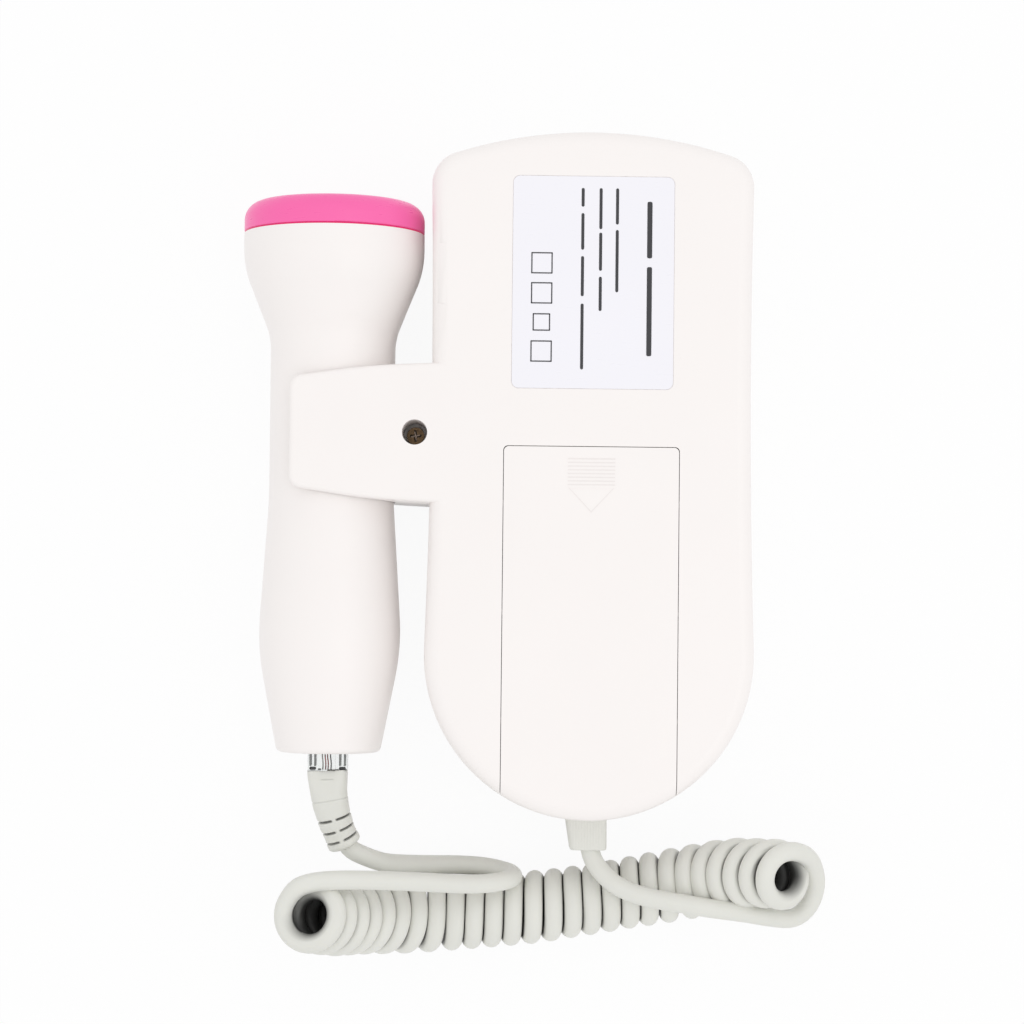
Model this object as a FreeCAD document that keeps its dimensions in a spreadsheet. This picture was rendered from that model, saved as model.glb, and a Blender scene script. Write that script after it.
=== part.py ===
"""Hand-held fetal doppler: a main unit, a probe clipped beside it and the curly cord that joins them.

Row frame, millimetres: the unit lies on its front face at z = 0, its back faces +Z, its top end
points along +Y, and the probe lies on the -X side.
"""
import FreeCAD, Part
import math
import os
import Sketcher
from FreeCAD import Placement, Rotation, Vector

doc = FreeCAD.newDocument("FetalDoppler")
sheet = doc.addObject("Spreadsheet::Sheet", "Sizes")


# ---------------------------------------------------------------- driving sizes

SIZES = (
    ("case_half", 34.0, "half of the case's greatest width, and the radius of its bottom end"),
    ("case_length", 142.2, "case, top apex to bottom apex"),
    ("case_depth", 35.0, "case, front face to back face"),
    ("split_height", 17.0, "parting plane of the two shells above the front face"),
    ("side_wall", 2.2, "side walls of both shells"),
    ("front_wall", 3.0, "front wall of the front shell"),
    ("back_wall", 4.3, "back wall around the battery door"),
    ("thin_back_wall", 2.2, "back wall behind the label"),
    ("rear_rim_radius", 3.0, "rounding of the back face's rim"),
    ("front_rim_radius", 5.0, "rounding of the front face's rim"),
    ("waist_depth", 1.05, "how far the sides draw in at the waist"),
    ("waist_drop", 48.0, "waist below the top apex"),
    ("crown_radius", 92.0, "arc of the top end"),
    ("shoulder_radius", 6.8, "corner between the top end and a side"),
    ("probe_offset", 54.0, "case centre line to probe axis"),
    ("holder_lift", 8.35, "middle of the probe holder above the case's middle"),
    ("holder_reach", 62.1, "holder's tip from the case centre line"),
    ("holder_bend", 46.0, "where the holder's edges bend, from the case centre line"),
    ("holder_tip_half", 11.3, "half height of the holder at its tip"),
    ("holder_bend_half", 13.75, "half height of the holder at its bend"),
    ("holder_root_half", 14.85, "half height of the holder at the case"),
    ("holder_root", 22.0, "where the holder ends inside the case, from the case centre line"),
    ("holder_corner", 2.6, "corner radius of the holder's tip"),
    ("holder_sweep", 140.0, "radius of the holder's bend"),
    ("holder_edge", 0.9, "rounding of the holder's outer edges"),
    ("holder_leaf", 2.3, "thickness of the holder's two leaves"),
    ("probe_play", 0.4, "probe's waist to the holder"),
    ("door_half", 18.0, "half width of the battery door"),
    ("door_plate", 2.0, "thickness of the door"),
    ("door_skirt", 11.0, "how far the door's end skirt reaches down from the back face"),
    ("door_corner", 1.0, "corner radius of the door's top edge"),
    ("door_margin", 3.0, "thick back wall beyond the door's top edge"),
    ("door_gap", 0.15, "door's edge to the shell"),
    ("door_under_gap", 0.1, "door's underside to the shell"),
    ("grip_width", 9.8, "grip lines and arrow across the door"),
    ("grip_pitch", 0.76, "distance from grip line to grip line"),
    ("grip_drop", 2.3, "door's top edge to the first grip line"),
    ("grip_line", 0.3, "width of a grip line"),
    ("grip_depth", 0.08, "depth of the grip lines and the arrow"),
    ("arrow_drop", 8.4, "door's top edge to the arrow"),
    ("arrow_length", 5.2, "arrow along the door"),
    ("parting_edge", 0.25, "bevel of both shells along their parting line"),
    ("rib_length", 1.2, "door rail ribs along the door"),
    ("rib_height", 0.8, "door rail ribs across their thickness"),
    ("rib_depth", 0.6, "how far the ribs reach into the door's grooves"),
    ("rib_pitch", 22.3, "distance from rib to rib"),
    ("rib_sink", 1.15, "ribs' middle below the back face"),
    ("rib_drop", 11.7, "door's top edge to the first rib"),
    ("rib_play", 0.1, "rib to the walls of its groove"),
    ("cell_radius", 7.25, "battery cell"),
    ("cell_length", 49.5, "battery cell without its nub"),
    ("nub_radius", 2.75, "battery cell's nub"),
    ("nub_length", 1.0, "battery cell's nub"),
    ("cell_pitch", 15.5, "distance of the two cells' axes"),
    ("cell_play", 0.2, "cell to the compartment"),
    ("bay_inset", 10.1, "compartment's lower end from the case's bottom apex"),
    ("bay_length", 56.7, "compartment along the case"),
    ("bay_drop", 10.0, "door's top edge to the compartment's upper end"),
    ("cell_room", 0.7, "cells to the door's underside"),
    ("bay_wall", 1.6, "walls of the battery compartment"),
    ("end_wall", 3.0, "wall beside and under the door's end skirt"),
    ("overlap", 1.0, "how far a block runs into its neighbour"),
    ("contact_sheet", 0.4, "thickness of the battery contacts"),
    ("contact_width", 12.0, "width of a battery contact"),
    ("contact_height", 13.0, "height of a battery contact"),
    ("spring_wire", 0.7, "wire of the battery springs"),
    ("spring_length", 5.2, "battery spring as fitted"),
    ("spring_base", 4.6, "radius of a battery spring's wide end"),
    ("spring_taper", 1.8, "how much a battery spring's radius falls to its tip"),
    ("label_width", 33.2, "rating label across the case"),
    ("label_height", 43.8, "rating label along the case"),
    ("label_middle", 39.6, "label's middle above the case's middle"),
    ("label_corner", 1.4, "label's corner radius"),
    ("label_sheet", 0.2, "thickness of the label"),
    ("label_recess", 0.15, "depth of the label's recess"),
    ("panel_half", 25.0, "half width of the front trim panel"),
    ("panel_drop", 13.1, "top apex to the panel's upper edge"),
    ("panel_margin", 11.0, "buttons' middle to the panel's lower edge"),
    ("panel_corner", 12.0, "panel's corner radius"),
    ("panel_sheet", 1.2, "thickness of the panel"),
    ("panel_recess", 1.4, "depth of the panel's recess in the front face"),
    ("trim_gap", 0.1, "glued trim to its recess, all round"),
    ("window_width", 40.0, "display window"),
    ("window_height", 26.0, "display window"),
    ("window_drop", 26.0, "panel's upper edge to the display window's middle"),
    ("window_corner", 3.0, "display window's corner radius"),
    ("window_seat", 2.0, "ledge that carries the window's edge"),
    ("lcd_sheet", 2.4, "thickness of the display module"),
    ("board_height", 9.0, "underside of the main board above the front face"),
    ("board_sheet", 1.6, "thickness of the main board"),
    ("board_half", 27.0, "half width of the main board"),
    ("board_drop", 25.1, "top apex to the main board's upper edge"),
    ("board_margin", 8.0, "buttons' middle to the main board's lower edge"),
    ("chip_size", 12.0, "edge of the board's largest chip"),
    ("chip_height", 1.6, "height of the board's largest chip"),
    ("post_inset", 4.0, "board posts from the board's edges"),
    ("post_radius", 2.4, "board posts"),
    ("power_radius", 6.0, "power button"),
    ("volume_radius", 4.6, "volume buttons"),
    ("button_drop", 13.7, "door's top edge to the buttons' middle"),
    ("button_pitch", 15.5, "distance from button to button"),
    ("button_sink", 0.5, "button faces above the front face's plane"),
    ("button_play", 0.25, "button to its hole"),
    ("button_flange", 1.0, "button's flange beyond its cap"),
    ("button_flange_sheet", 0.8, "thickness of a button's flange"),
    ("button_edge", 0.5, "rounding of a button's face"),
    ("button_stem", 1.5, "radius of a button's stem"),
    ("button_travel_room", 0.6, "stem to switch at rest"),
    ("switch_half", 3.0, "half width of a tact switch"),
    ("switch_body", 3.1, "height of a tact switch's housing"),
    ("switch_plunger", 0.5, "height of a tact switch's plunger"),
    ("switch_plunger_radius", 1.7, "tact switch's plunger"),
    ("speaker_lift", 31.1, "bottom apex to the speaker's middle"),
    ("speaker_radius", 14.0, "speaker"),
    ("speaker_depth", 5.0, "speaker's basket and magnet"),
    ("speaker_edge", 1.6, "speaker's rim"),
    ("speaker_ring", 1.3, "wall of the ring round the speaker"),
    ("speaker_ring_height", 2.5, "height of the ring round the speaker"),
    ("grille_hole", 0.9, "radius of a grille hole"),
    ("grille_pitch", 3.4, "distance from ring to ring of the grille"),
    ("jack_bore", 1.8, "headphone jack's bore radius"),
    ("jack_length", 14.0, "headphone jack's bore length"),
    ("jack_nose", 2.9, "headphone jack's nose radius"),
    ("jack_width", 11.0, "headphone jack along the case"),
    ("jack_depth", 5.8, "headphone jack's height on the board"),
    ("jack_drop", 16.0, "main board's upper edge to the headphone jack"),
    ("jack_back", 1.5, "jack's back wall behind its bore"),
    ("jack_sink", 0.4, "jack's mouth behind the side wall's surface"),
    ("jack_gap", 0.3, "jack's housing to the side wall"),
    ("boss_radius", 3.2, "screw bosses"),
    ("boss_wall", 1.3, "wall round a screw well"),
    ("hole_play", 0.2, "shank to its hole in the rear shell"),
    ("screw_radius", 1.25, "shank of every screw"),
    ("screw_head", 1.8, "head radius of every screw"),
    ("screw_head_height", 1.5, "head height of every screw"),
    ("slot_half", 0.3, "half width of a screw's cross slots"),
    ("slot_reach", 1.2, "reach of a screw's cross slots from its middle"),
    ("slot_depth", 1.0, "depth of a screw's cross slots"),
    ("well_radius", 2.6, "screw wells"),
    ("lower_boss_x", 12.0, "lower case screws from the centre line"),
    ("lower_boss_drop", 4.5, "door's top edge to the lower case screws"),
    ("upper_boss_x", 11.0, "upper case screws from the centre line"),
    ("upper_boss_drop", 18.1, "top apex to the upper case screws"),
    ("case_screw_floor", 24.0, "floor of the case screws' wells above the front face"),
    ("case_screw_length", 16.0, "shank of a case screw"),
    ("holder_screw_x", 36.4, "holder screw from the case centre line"),
    ("holder_screw_floor", 20.0, "floor of the holder screw's well above the front face"),
    ("holder_screw_length", 14.0, "shank of the holder screw"),
    ("board_screw_length", 5.0, "shank of a board screw"),
    ("cord_radius", 2.0, "cord"),
    ("relief_x", 0.4, "strain relief from the case centre line"),
    ("relief_width", 9.2, "strain relief at its root"),
    ("relief_end_width", 7.7, "strain relief at its end"),
    ("relief_height", 7.0, "strain relief across its width"),
    ("relief_end_height", 6.4, "strain relief's end across its width"),
    ("relief_length", 10.0, "strain relief from inside the wall to its end"),
    ("relief_inset", 2.7, "strain relief's root from the case's bottom apex"),
    ("relief_corner", 1.2, "corner radius of the strain relief"),
    ("relief_play", 0.05, "strain relief to the walls of its room"),
    ("relief_flange", 1.6, "strain relief's flange beyond its body, and its thickness"),
    ("probe_tail", 66.45, "probe's tail end to the middle of the holder"),
    ("tail_radius", 10.85, "probe's tail end"),
    ("tail_corner", 1.2, "rounding of the probe's tail end"),
    ("belly_radius", 15.1, "corner of the probe's belly"),
    ("belly_reach", 22.0, "probe's belly from its tail end"),
    ("waist_radius", 13.1, "probe's waist"),
    ("waist_start", 52.5, "waist's start from the tail end"),
    ("waist_end", 86.9, "waist's end from the tail end"),
    ("belly_round", 50.0, "rounding of the probe's belly"),
    ("waist_round", 60.0, "rounding between belly and waist"),
    ("flare_round", 14.0, "rounding between waist and head"),
    ("head_round", 20.0, "rounding between flare and head"),
    ("head_radius", 19.0, "probe's head"),
    ("head_start", 101.7, "head's start from the tail end"),
    ("cap_start", 108.85, "head cap's rim from the tail end"),
    ("probe_length", 116.1, "probe with its cap"),
    ("bore_shift", 0.6, "bore's flare after the waist's end"),
    ("probe_wall", 1.8, "probe's wall"),
    ("neck_play", 0.2, "probe's neck to the cap's side wall"),
    ("neck_length", 3.0, "probe's neck inside the cap"),
    ("cap_gap", 0.25, "cap's rim to the probe's shoulder"),
    ("cap_wall", 2.4, "head cap's side wall"),
    ("cap_front", 2.4, "head cap's face wall"),
    ("cap_corner", 3.8, "rounding of the cap's outer edge"),
    ("cap_dome", 1.0, "how far the cap's face is domed"),
    ("cap_flat", 8.2, "radius of the cap's flat middle"),
    ("cap_round", 12.0, "rounding of the flat middle's edge"),
    ("cap_lip", 0.4, "rounding of the cap's rim"),
    ("crystal_inset", 1.0, "backing's edge to the crystals' edge"),
    ("crystal_sheet", 1.0, "thickness of the crystals"),
    ("crystal_slot", 1.0, "gap between the two crystals"),
    ("backing_inset", 3.1, "cap's side wall to the crystal backing"),
    ("backing_depth", 7.0, "crystal backing"),
    ("plug_width", 8.2, "plug across the probe"),
    ("plug_height", 6.7, "plug's height"),
    ("plug_inside", 8.0, "plug inside the probe"),
    ("plug_outside", 3.8, "plug outside the probe"),
    ("latch_width", 3.4, "plug's latch"),
    ("latch_sheet", 1.1, "plug's latch"),
    ("plug_play", 0.15, "plug to its jack, each side"),
    ("socket_width", 13.0, "probe jack's housing across the probe"),
    ("socket_height", 11.0, "probe jack's housing"),
    ("socket_length", 14.0, "probe jack's housing along the probe"),
    ("socket_wall", 1.5, "probe jack's back wall"),
    ("blade_sheet", 0.4, "plug contacts"),
    ("blade_pitch", 1.3, "distance from contact to contact"),
    ("blade_height", 2.2, "plug contacts"),
    ("blade_length", 5.0, "plug contacts"),
    ("probe_board_half", 8.0, "half width of the probe board"),
    ("probe_board_start", 8.5, "probe board from the tail end"),
    ("probe_board_end", 84.0, "probe board from the tail end"),
    ("probe_board_sheet", 1.2, "thickness of the probe board"),
    ("boot_width", 8.2, "plug boot"),
    ("boot_height", 7.4, "plug boot"),
    ("boot_straight", 5.4, "plug boot's straight stretch"),
    ("boot_end_radius", 3.0, "plug boot's end"),
    ("coil_radius", 7.9, "coiled stretch of the cord, outside"),
)


class Size:
    """A sheet number, or a sum built from sheet numbers: text for an expression, and its value."""

    def __init__(self, text, value):
        self.text = text
        self.value = value

    def __add__(self, other):
        return Size(f"({self.text} + {as_size(other).text})", self.value + as_size(other).value)

    def __sub__(self, other):
        return Size(f"({self.text} - {as_size(other).text})", self.value - as_size(other).value)

    def __mul__(self, other):
        return Size(f"({self.text} * {as_size(other).text})", self.value * as_size(other).value)

    def __truediv__(self, other):
        return Size(f"({self.text} / {as_size(other).text})", self.value / as_size(other).value)

    def __neg__(self):
        return as_size(0) - self


def as_size(number):
    """A Size as it is, or a plain number as a Size."""
    if isinstance(number, Size):
        return number
    return Size(f"{float(number):.6f}", float(number))


class Sheet:
    """The driving sizes by name."""


S = Sheet()
for row, (alias, value, meaning) in enumerate(SIZES, start=1):
    sheet.set(f"A{row}", alias)
    sheet.set(f"B{row}", str(value))
    sheet.set(f"C{row}", meaning)
    sheet.setAlias(f"B{row}", alias)
    setattr(S, alias, Size(f"Sizes.{alias}", value))
doc.recompute()

# The case's middle is at y = 0. The row's origin is under the middle of the whole object.
case_x = (S.probe_offset + S.head_radius - S.case_half) / 2
probe_x = case_x - S.probe_offset
half_length = S.case_length / 2
cradle_radius = S.waist_radius + S.probe_play
probe_height = S.case_depth - S.holder_leaf - cradle_radius
rear_leaf_under = probe_height + cradle_radius
front_leaf_top = probe_height - cradle_radius
door_under = S.case_depth - S.door_plate
bay_floor = door_under - S.cell_room - S.cell_radius * 2 - S.cell_play
bay_end = half_length - S.bay_inset
bay_top = S.bay_length - bay_end
door_top = bay_top + S.bay_drop
relief_start = half_length - S.relief_inset
button_y = door_top - S.button_drop
board_top = half_length - S.board_drop
board_low = button_y - S.board_margin
panel_top = half_length - S.panel_drop
panel_low = button_y - S.panel_margin
window_middle = panel_top - S.window_drop
speaker_y = S.speaker_lift - half_length
jack_y = board_top - S.jack_drop
neck_radius = S.head_radius - S.cap_wall - S.neck_play
backing_radius = S.head_radius - S.cap_wall - S.backing_inset
FAR = 200.0
GRIP_LINES = 8


# ---------------------------------------------------------------- sketch helpers

def bind(thing, path, size):
    """Bind one property to the sheet, or set it where it is a plain number."""
    thing.setExpression(path, as_size(size).text)


def new_body(label, at=None):
    """A PartDesign body, moved as a whole to its place in the row frame."""
    body = doc.addObject("PartDesign::Body", label)
    body.Label = label
    place(body, at)
    return body


def place(thing, at):
    """Bind an object's place to (x, y, z)."""
    if at is None:
        return
    for axis, size in zip("xyz", at):
        bind(thing, f"Placement.Base.{axis}", size)


def new_sketch(body, role="XY_Plane", offset=0.0):
    """A sketch on one of the body's origin planes, moved along the plane's normal."""
    sketch = body.newObject("Sketcher::SketchObject", f"{body.Name}_sketch")
    plane = [item for item in body.Origin.OriginFeatures if item.Role == role][0]
    sketch.AttachmentSupport = (plane, [""])
    sketch.MapMode = "FlatFace"
    bind(sketch, "AttachmentOffset.Base.z", offset)
    return sketch


def pin_point(sketch, geometry, position, x, y):
    """Fix one point of a sketch at (x, y) from its origin."""
    for kind, size in (("DistanceX", x), ("DistanceY", y)):
        size = as_size(size)
        index = sketch.addConstraint(
            Sketcher.Constraint(kind, -1, 1, geometry, position, size.value))
        bind(sketch, f"Constraints[{index}]", size)


def set_radius(sketch, geometry, radius):
    """Fix the radius of a circle or an arc."""
    index = sketch.addConstraint(Sketcher.Constraint("Radius", geometry, as_size(radius).value))
    bind(sketch, f"Constraints[{index}]", radius)


def circle(sketch, x, y, radius):
    """A circle about (x, y)."""
    centre = Vector(as_size(x).value, as_size(y).value, 0)
    ring = Part.Circle(centre, Vector(0, 0, 1), as_size(radius).value)
    geometry = sketch.addGeometry(ring, False)
    pin_point(sketch, geometry, 3, x, y)
    set_radius(sketch, geometry, radius)


def polygon(sketch, corners):
    """A closed outline through (x, y, radius) corners, rounded where the radius isn't 0."""
    count = len(corners)
    points = [Vector(as_size(x).value, as_size(y).value, 0) for x, y, _ in corners]
    radii = [as_size(radius).value for _, _, radius in corners]
    entries, exits, centres = [], [], []
    for i, point in enumerate(points):
        back = (points[i - 1] - point).normalize()
        ahead = (points[(i + 1) % count] - point).normalize()
        half_angle = math.acos(max(-1.0, min(1.0, back.dot(ahead)))) / 2
        setback = radii[i] / math.tan(half_angle) if radii[i] else 0.0
        entries.append(point + back * setback)
        exits.append(point + ahead * setback)
        if radii[i]:
            centres.append(point + (back + ahead).normalize() * (radii[i] / math.sin(half_angle)))
        else:
            centres.append(None)
    lines = []
    for i in range(count):
        side = Part.LineSegment(exits[i], entries[(i + 1) % count])
        lines.append(sketch.addGeometry(side, False))
    for i, (x, y, radius) in enumerate(corners):
        before, after = lines[i - 1], lines[i]
        if centres[i] is None:
            sketch.addConstraint(Sketcher.Constraint("Coincident", before, 2, after, 1))
            pin_point(sketch, after, 1, x, y)
            continue
        centre = centres[i]
        start, end = entries[i] - centre, exits[i] - centre
        turns_left = start.cross(end).z > 0
        first, last = (start, end) if turns_left else (end, start)
        ring = Part.Circle(centre, Vector(0, 0, 1), radii[i])
        arc = Part.ArcOfCircle(ring, math.atan2(first.y, first.x), math.atan2(last.y, last.x))
        geometry = sketch.addGeometry(arc, False)
        corner = sketch.addGeometry(Part.Point(points[i]), True)
        sketch.addConstraint(Sketcher.Constraint("PointOnObject", corner, 1, before))
        sketch.addConstraint(Sketcher.Constraint("PointOnObject", corner, 1, after))
        entry, leave = (1, 2) if turns_left else (2, 1)
        sketch.addConstraint(Sketcher.Constraint("Tangent", before, 2, geometry, entry))
        sketch.addConstraint(Sketcher.Constraint("Tangent", geometry, leave, after, 1))
        pin_point(sketch, corner, 1, x, y)
        set_radius(sketch, geometry, radius)


def rectangle(sketch, left, bottom, right, top, radius=0.0):
    """A rectangle between two corners, with one corner radius."""
    polygon(sketch, [(left, bottom, radius), (right, bottom, radius),
                     (right, top, radius), (left, top, radius)])


def case_outline(sketch, inset=0.0):
    """The case's outline, drawn in by inset: six arcs that meet tangentially."""
    inset = as_size(inset)
    base_y = -(half_length - S.case_half)
    waist_y = half_length - S.waist_drop
    crown_y = half_length - S.crown_radius
    rise = (waist_y - base_y).value
    depth = S.waist_depth.value
    base_radius = S.case_half.value
    waist_radius = (rise ** 2 - 2 * base_radius * depth + depth ** 2) / (2 * depth)
    rise_size = waist_y - base_y
    waist_size = (rise_size * rise_size - S.case_half * S.waist_depth * 2
                  + S.waist_depth * S.waist_depth) / (S.waist_depth * 2)
    waist_x = base_radius - depth + waist_radius
    # The shoulder's centre is where the crown's and the waist's offset circles cross.
    crown_reach = S.crown_radius.value - S.shoulder_radius.value
    waist_reach = waist_radius + S.shoulder_radius.value
    gap_x, gap_y = waist_x, waist_y.value - crown_y.value
    span = math.hypot(gap_x, gap_y)
    along = (crown_reach ** 2 - waist_reach ** 2 + span ** 2) / (2 * span)
    aside = math.sqrt(crown_reach ** 2 - along ** 2)
    shoulder_x = (along * gap_x - aside * gap_y) / span
    shoulder_y = crown_y.value + (along * gap_y + aside * gap_x) / span
    lower = math.atan2(base_y.value - waist_y.value, -waist_x)
    upper = math.atan2(shoulder_y - waist_y.value, shoulder_x - waist_x)
    crown_angle = math.atan2(shoulder_y - crown_y.value, shoulder_x)
    side_angle = math.atan2(waist_y.value - shoulder_y, waist_x - shoulder_x)
    base_angle = math.atan2(waist_y.value - base_y.value, waist_x)

    def arc(x, y, radius, first, last):
        ring = Part.Circle(Vector(x, y, 0), Vector(0, 0, 1), radius)
        return sketch.addGeometry(Part.ArcOfCircle(ring, first, last), False)

    full, cut = math.pi, inset.value
    base = arc(0, base_y.value, base_radius - cut, full - base_angle, 2 * full + base_angle)
    right_waist = arc(waist_x, waist_y.value, waist_radius + cut, upper, lower + 2 * full)
    right_shoulder = arc(shoulder_x, shoulder_y, S.shoulder_radius.value - cut,
                         side_angle, crown_angle)
    crown = arc(0, crown_y.value, S.crown_radius.value - cut, crown_angle, full - crown_angle)
    left_shoulder = arc(-shoulder_x, shoulder_y, S.shoulder_radius.value - cut,
                        full - crown_angle, full - side_angle)
    left_waist = arc(-waist_x, waist_y.value, waist_radius + cut, full - lower - 2 * full,
                     full - upper)
    for one, end, other, start in ((base, 2, right_waist, 2), (right_waist, 1, right_shoulder, 1),
                                   (right_shoulder, 2, crown, 1), (crown, 2, left_shoulder, 1),
                                   (left_shoulder, 2, left_waist, 2), (left_waist, 1, base, 1)):
        sketch.addConstraint(Sketcher.Constraint("Tangent", one, end, other, start))
    pin_point(sketch, base, 3, 0, base_y)
    set_radius(sketch, base, S.case_half - inset)
    pin_point(sketch, crown, 3, 0, crown_y)
    set_radius(sketch, crown, S.crown_radius - inset)
    for shoulder, waist in ((right_shoulder, right_waist), (left_shoulder, left_waist)):
        set_radius(sketch, shoulder, S.shoulder_radius - inset)
        set_radius(sketch, waist, waist_size + inset)
        index = sketch.addConstraint(
            Sketcher.Constraint("DistanceY", -1, 1, waist, 3, waist_y.value))
        bind(sketch, f"Constraints[{index}]", waist_y)


def pad(body, sketch, length, reverse=False):
    """Add material from a sketch."""
    feature = body.newObject("PartDesign::Pad", f"{body.Name}_pad")
    feature.Profile = sketch
    feature.Reversed = reverse
    bind(feature, "Length", length)
    doc.recompute()
    return feature


def pocket(body, sketch, depth, reverse=False):
    """Cut material along a sketch, and make sure that something was cut."""
    before = body.Shape.Volume
    feature = body.newObject("PartDesign::Pocket", f"{body.Name}_pocket")
    feature.Profile = sketch
    feature.Reversed = reverse
    bind(feature, "Length", depth)
    doc.recompute()
    if body.Shape.Volume >= before:
        raise RuntimeError(f"{feature.Name} cut nothing")
    return feature


def fillet(body, radius, wanted):
    """Round the edges of the body's shape for which wanted(edge) is true."""
    base = body.Tip
    names = [f"Edge{i}" for i, edge in enumerate(base.Shape.Edges, start=1) if wanted(edge)]
    if not names:
        raise RuntimeError(f"{body.Name} has no edge to round")
    feature = body.newObject("PartDesign::Fillet", f"{body.Name}_fillet")
    feature.Base = (base, names)
    bind(feature, "Radius", radius)
    doc.recompute()
    return feature


def chamfer(body, size, wanted):
    """Bevel the edges of the body's shape for which wanted(edge) is true."""
    base = body.Tip
    names = [f"Edge{i}" for i, edge in enumerate(base.Shape.Edges, start=1) if wanted(edge)]
    feature = body.newObject("PartDesign::Chamfer", f"{body.Name}_chamfer")
    feature.Base = (base, names)
    bind(feature, "Size", size)
    doc.recompute()
    return feature


def lies_at(height):
    """A test for edges that lie flat at one height of the body's own frame."""
    level = as_size(height).value

    def test(edge):
        box = edge.BoundBox
        return abs(box.ZMin - level) < 1e-4 and abs(box.ZMax - level) < 1e-4
    return test


def box(label, low, high):
    """A Part box between two corners."""
    thing = doc.addObject("Part::Box", label)
    thing.Label = label
    for path, start, end in zip(("Length", "Width", "Height"), low, high):
        bind(thing, path, as_size(end) - start)
    place(thing, low)
    return thing


def cylinder(label, at, radius, length, along="z"):
    """A Part cylinder from a point, along +X, +Y or +Z."""
    thing = doc.addObject("Part::Cylinder", label)
    thing.Label = label
    bind(thing, "Radius", radius)
    bind(thing, "Height", length)
    turns = {"x": Rotation(Vector(0, 1, 0), 90), "y": Rotation(Vector(1, 0, 0), -90),
             "z": Rotation()}
    thing.Placement = Placement(Vector(), turns[along])
    place(thing, at)
    return thing


def join(label, pieces):
    """One solid out of several."""
    thing = doc.addObject("Part::MultiFuse", label)
    thing.Label = label
    thing.Shapes = pieces
    thing.Refine = True
    return thing


def cut(label, base, tools):
    """A base without its tools."""
    tool = tools[0]
    if len(tools) > 1:
        tool = doc.addObject("Part::Compound", f"{label}_tools")
        tool.Links = tools
    thing = doc.addObject("Part::Cut", label)
    thing.Label = label
    thing.Base = base
    thing.Tool = tool
    return thing


def group(label, pieces):
    """Several separate solids in one node."""
    thing = doc.addObject("Part::Compound", label)
    thing.Label = label
    thing.Links = pieces
    return thing


# ---------------------------------------------------------------- shells

def case_block(label, low, high, inset=0.0, rim=None, rim_at=None):
    """The case's outline between two heights, with an optional rounded rim."""
    body = new_body(label, (case_x, 0, 0))
    sketch = new_sketch(body, "XY_Plane", low)
    case_outline(sketch, inset)
    pad(body, sketch, as_size(high) - low)
    if rim is not None:
        fillet(body, rim, lies_at(rim_at))
        chamfer(body, S.parting_edge, lies_at(S.split_height))
    return body


def trim_to(body, left, bottom, right, top, corner=0.0):
    """Keep only what lies inside a rectangle of the plan."""
    sketch = new_sketch(body, "XY_Plane", -FAR)
    rectangle(sketch, -FAR, -FAR, FAR, FAR)
    rectangle(sketch, left, bottom, right, top, corner)
    pocket(body, sketch, 3 * FAR, reverse=True)


def hollow(body, low, high, inset):
    """Cut the case's outline, drawn in by inset, out of a body."""
    sketch = new_sketch(body, "XY_Plane", low)
    case_outline(sketch, inset)
    pocket(body, sketch, as_size(high) - low, reverse=True)


def holder_block(label, low, high, edge_at):
    """One half of the probe holder: a tapered arm that runs into the case."""
    body = new_body(label, (case_x, 0, 0))
    sketch = new_sketch(body, "XY_Plane", low)
    middle = S.holder_lift
    root = -S.holder_root
    polygon(sketch, [
        (-S.holder_reach, middle - S.holder_tip_half, S.holder_corner),
        (-S.holder_bend, middle - S.holder_bend_half, S.holder_sweep),
        (root, middle - S.holder_root_half, 0),
        (root, middle + S.holder_root_half, 0),
        (-S.holder_bend, middle + S.holder_bend_half, S.holder_sweep),
        (-S.holder_reach, middle + S.holder_tip_half, S.holder_corner)])
    pad(body, sketch, as_size(high) - low)
    fillet(body, S.holder_edge, lies_at(edge_at))
    chamfer(body, S.parting_edge, lies_at(S.split_height))
    return body


def cradle_tool(label):
    """The channel that the probe's waist lies in, open towards -X."""
    body = new_body(label, (case_x, 0, 0))
    sketch = new_sketch(body, "XZ_Plane", -FAR / 4)
    polygon(sketch, [
        (-S.probe_offset - FAR / 4, front_leaf_top, 0),
        (-S.probe_offset + cradle_radius, front_leaf_top, cradle_radius - 0.02),
        (-S.probe_offset + cradle_radius, rear_leaf_under, cradle_radius - 0.02),
        (-S.probe_offset - FAR / 4, rear_leaf_under, 0)])
    pad(body, sketch, FAR / 2)
    return body


def screw(label, at, shank_length):
    """A pan head screw that points down from the top of its head."""
    x, y, under_head = at
    head = cylinder(f"{label}_head", (x, y, under_head), S.screw_head, S.screw_head_height)
    shank = cylinder(f"{label}_shank", (x, y, as_size(under_head) - shank_length),
                     S.screw_radius, shank_length)
    solid = join(f"{label}_solid", [head, shank])
    top = as_size(under_head) + S.screw_head_height
    slots = []
    for i, (wide, deep) in enumerate(((S.slot_half, S.slot_reach), (S.slot_reach, S.slot_half))):
        slots.append(box(f"{label}_slot_{i}",
                         (as_size(x) - wide, as_size(y) - deep, top - S.slot_depth),
                         (as_size(x) + wide, as_size(y) + deep, top + S.slot_depth)))
    return cut(label, solid, slots)


NODES = []


def node(thing):
    """Keep an object as a node of the part."""
    NODES.append(thing)
    return thing


case_screw_spots = [(case_x + S.lower_boss_x * side, door_top - S.lower_boss_drop)
                    for side in (-1, 1)]
case_screw_spots += [(case_x + S.upper_boss_x * side, half_length - S.upper_boss_drop)
                     for side in (-1, 1)]
holder_screw_spot = (case_x - S.holder_screw_x, S.holder_lift)
bay_half = S.cell_pitch / 2 + S.cell_radius + S.cell_play


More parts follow.
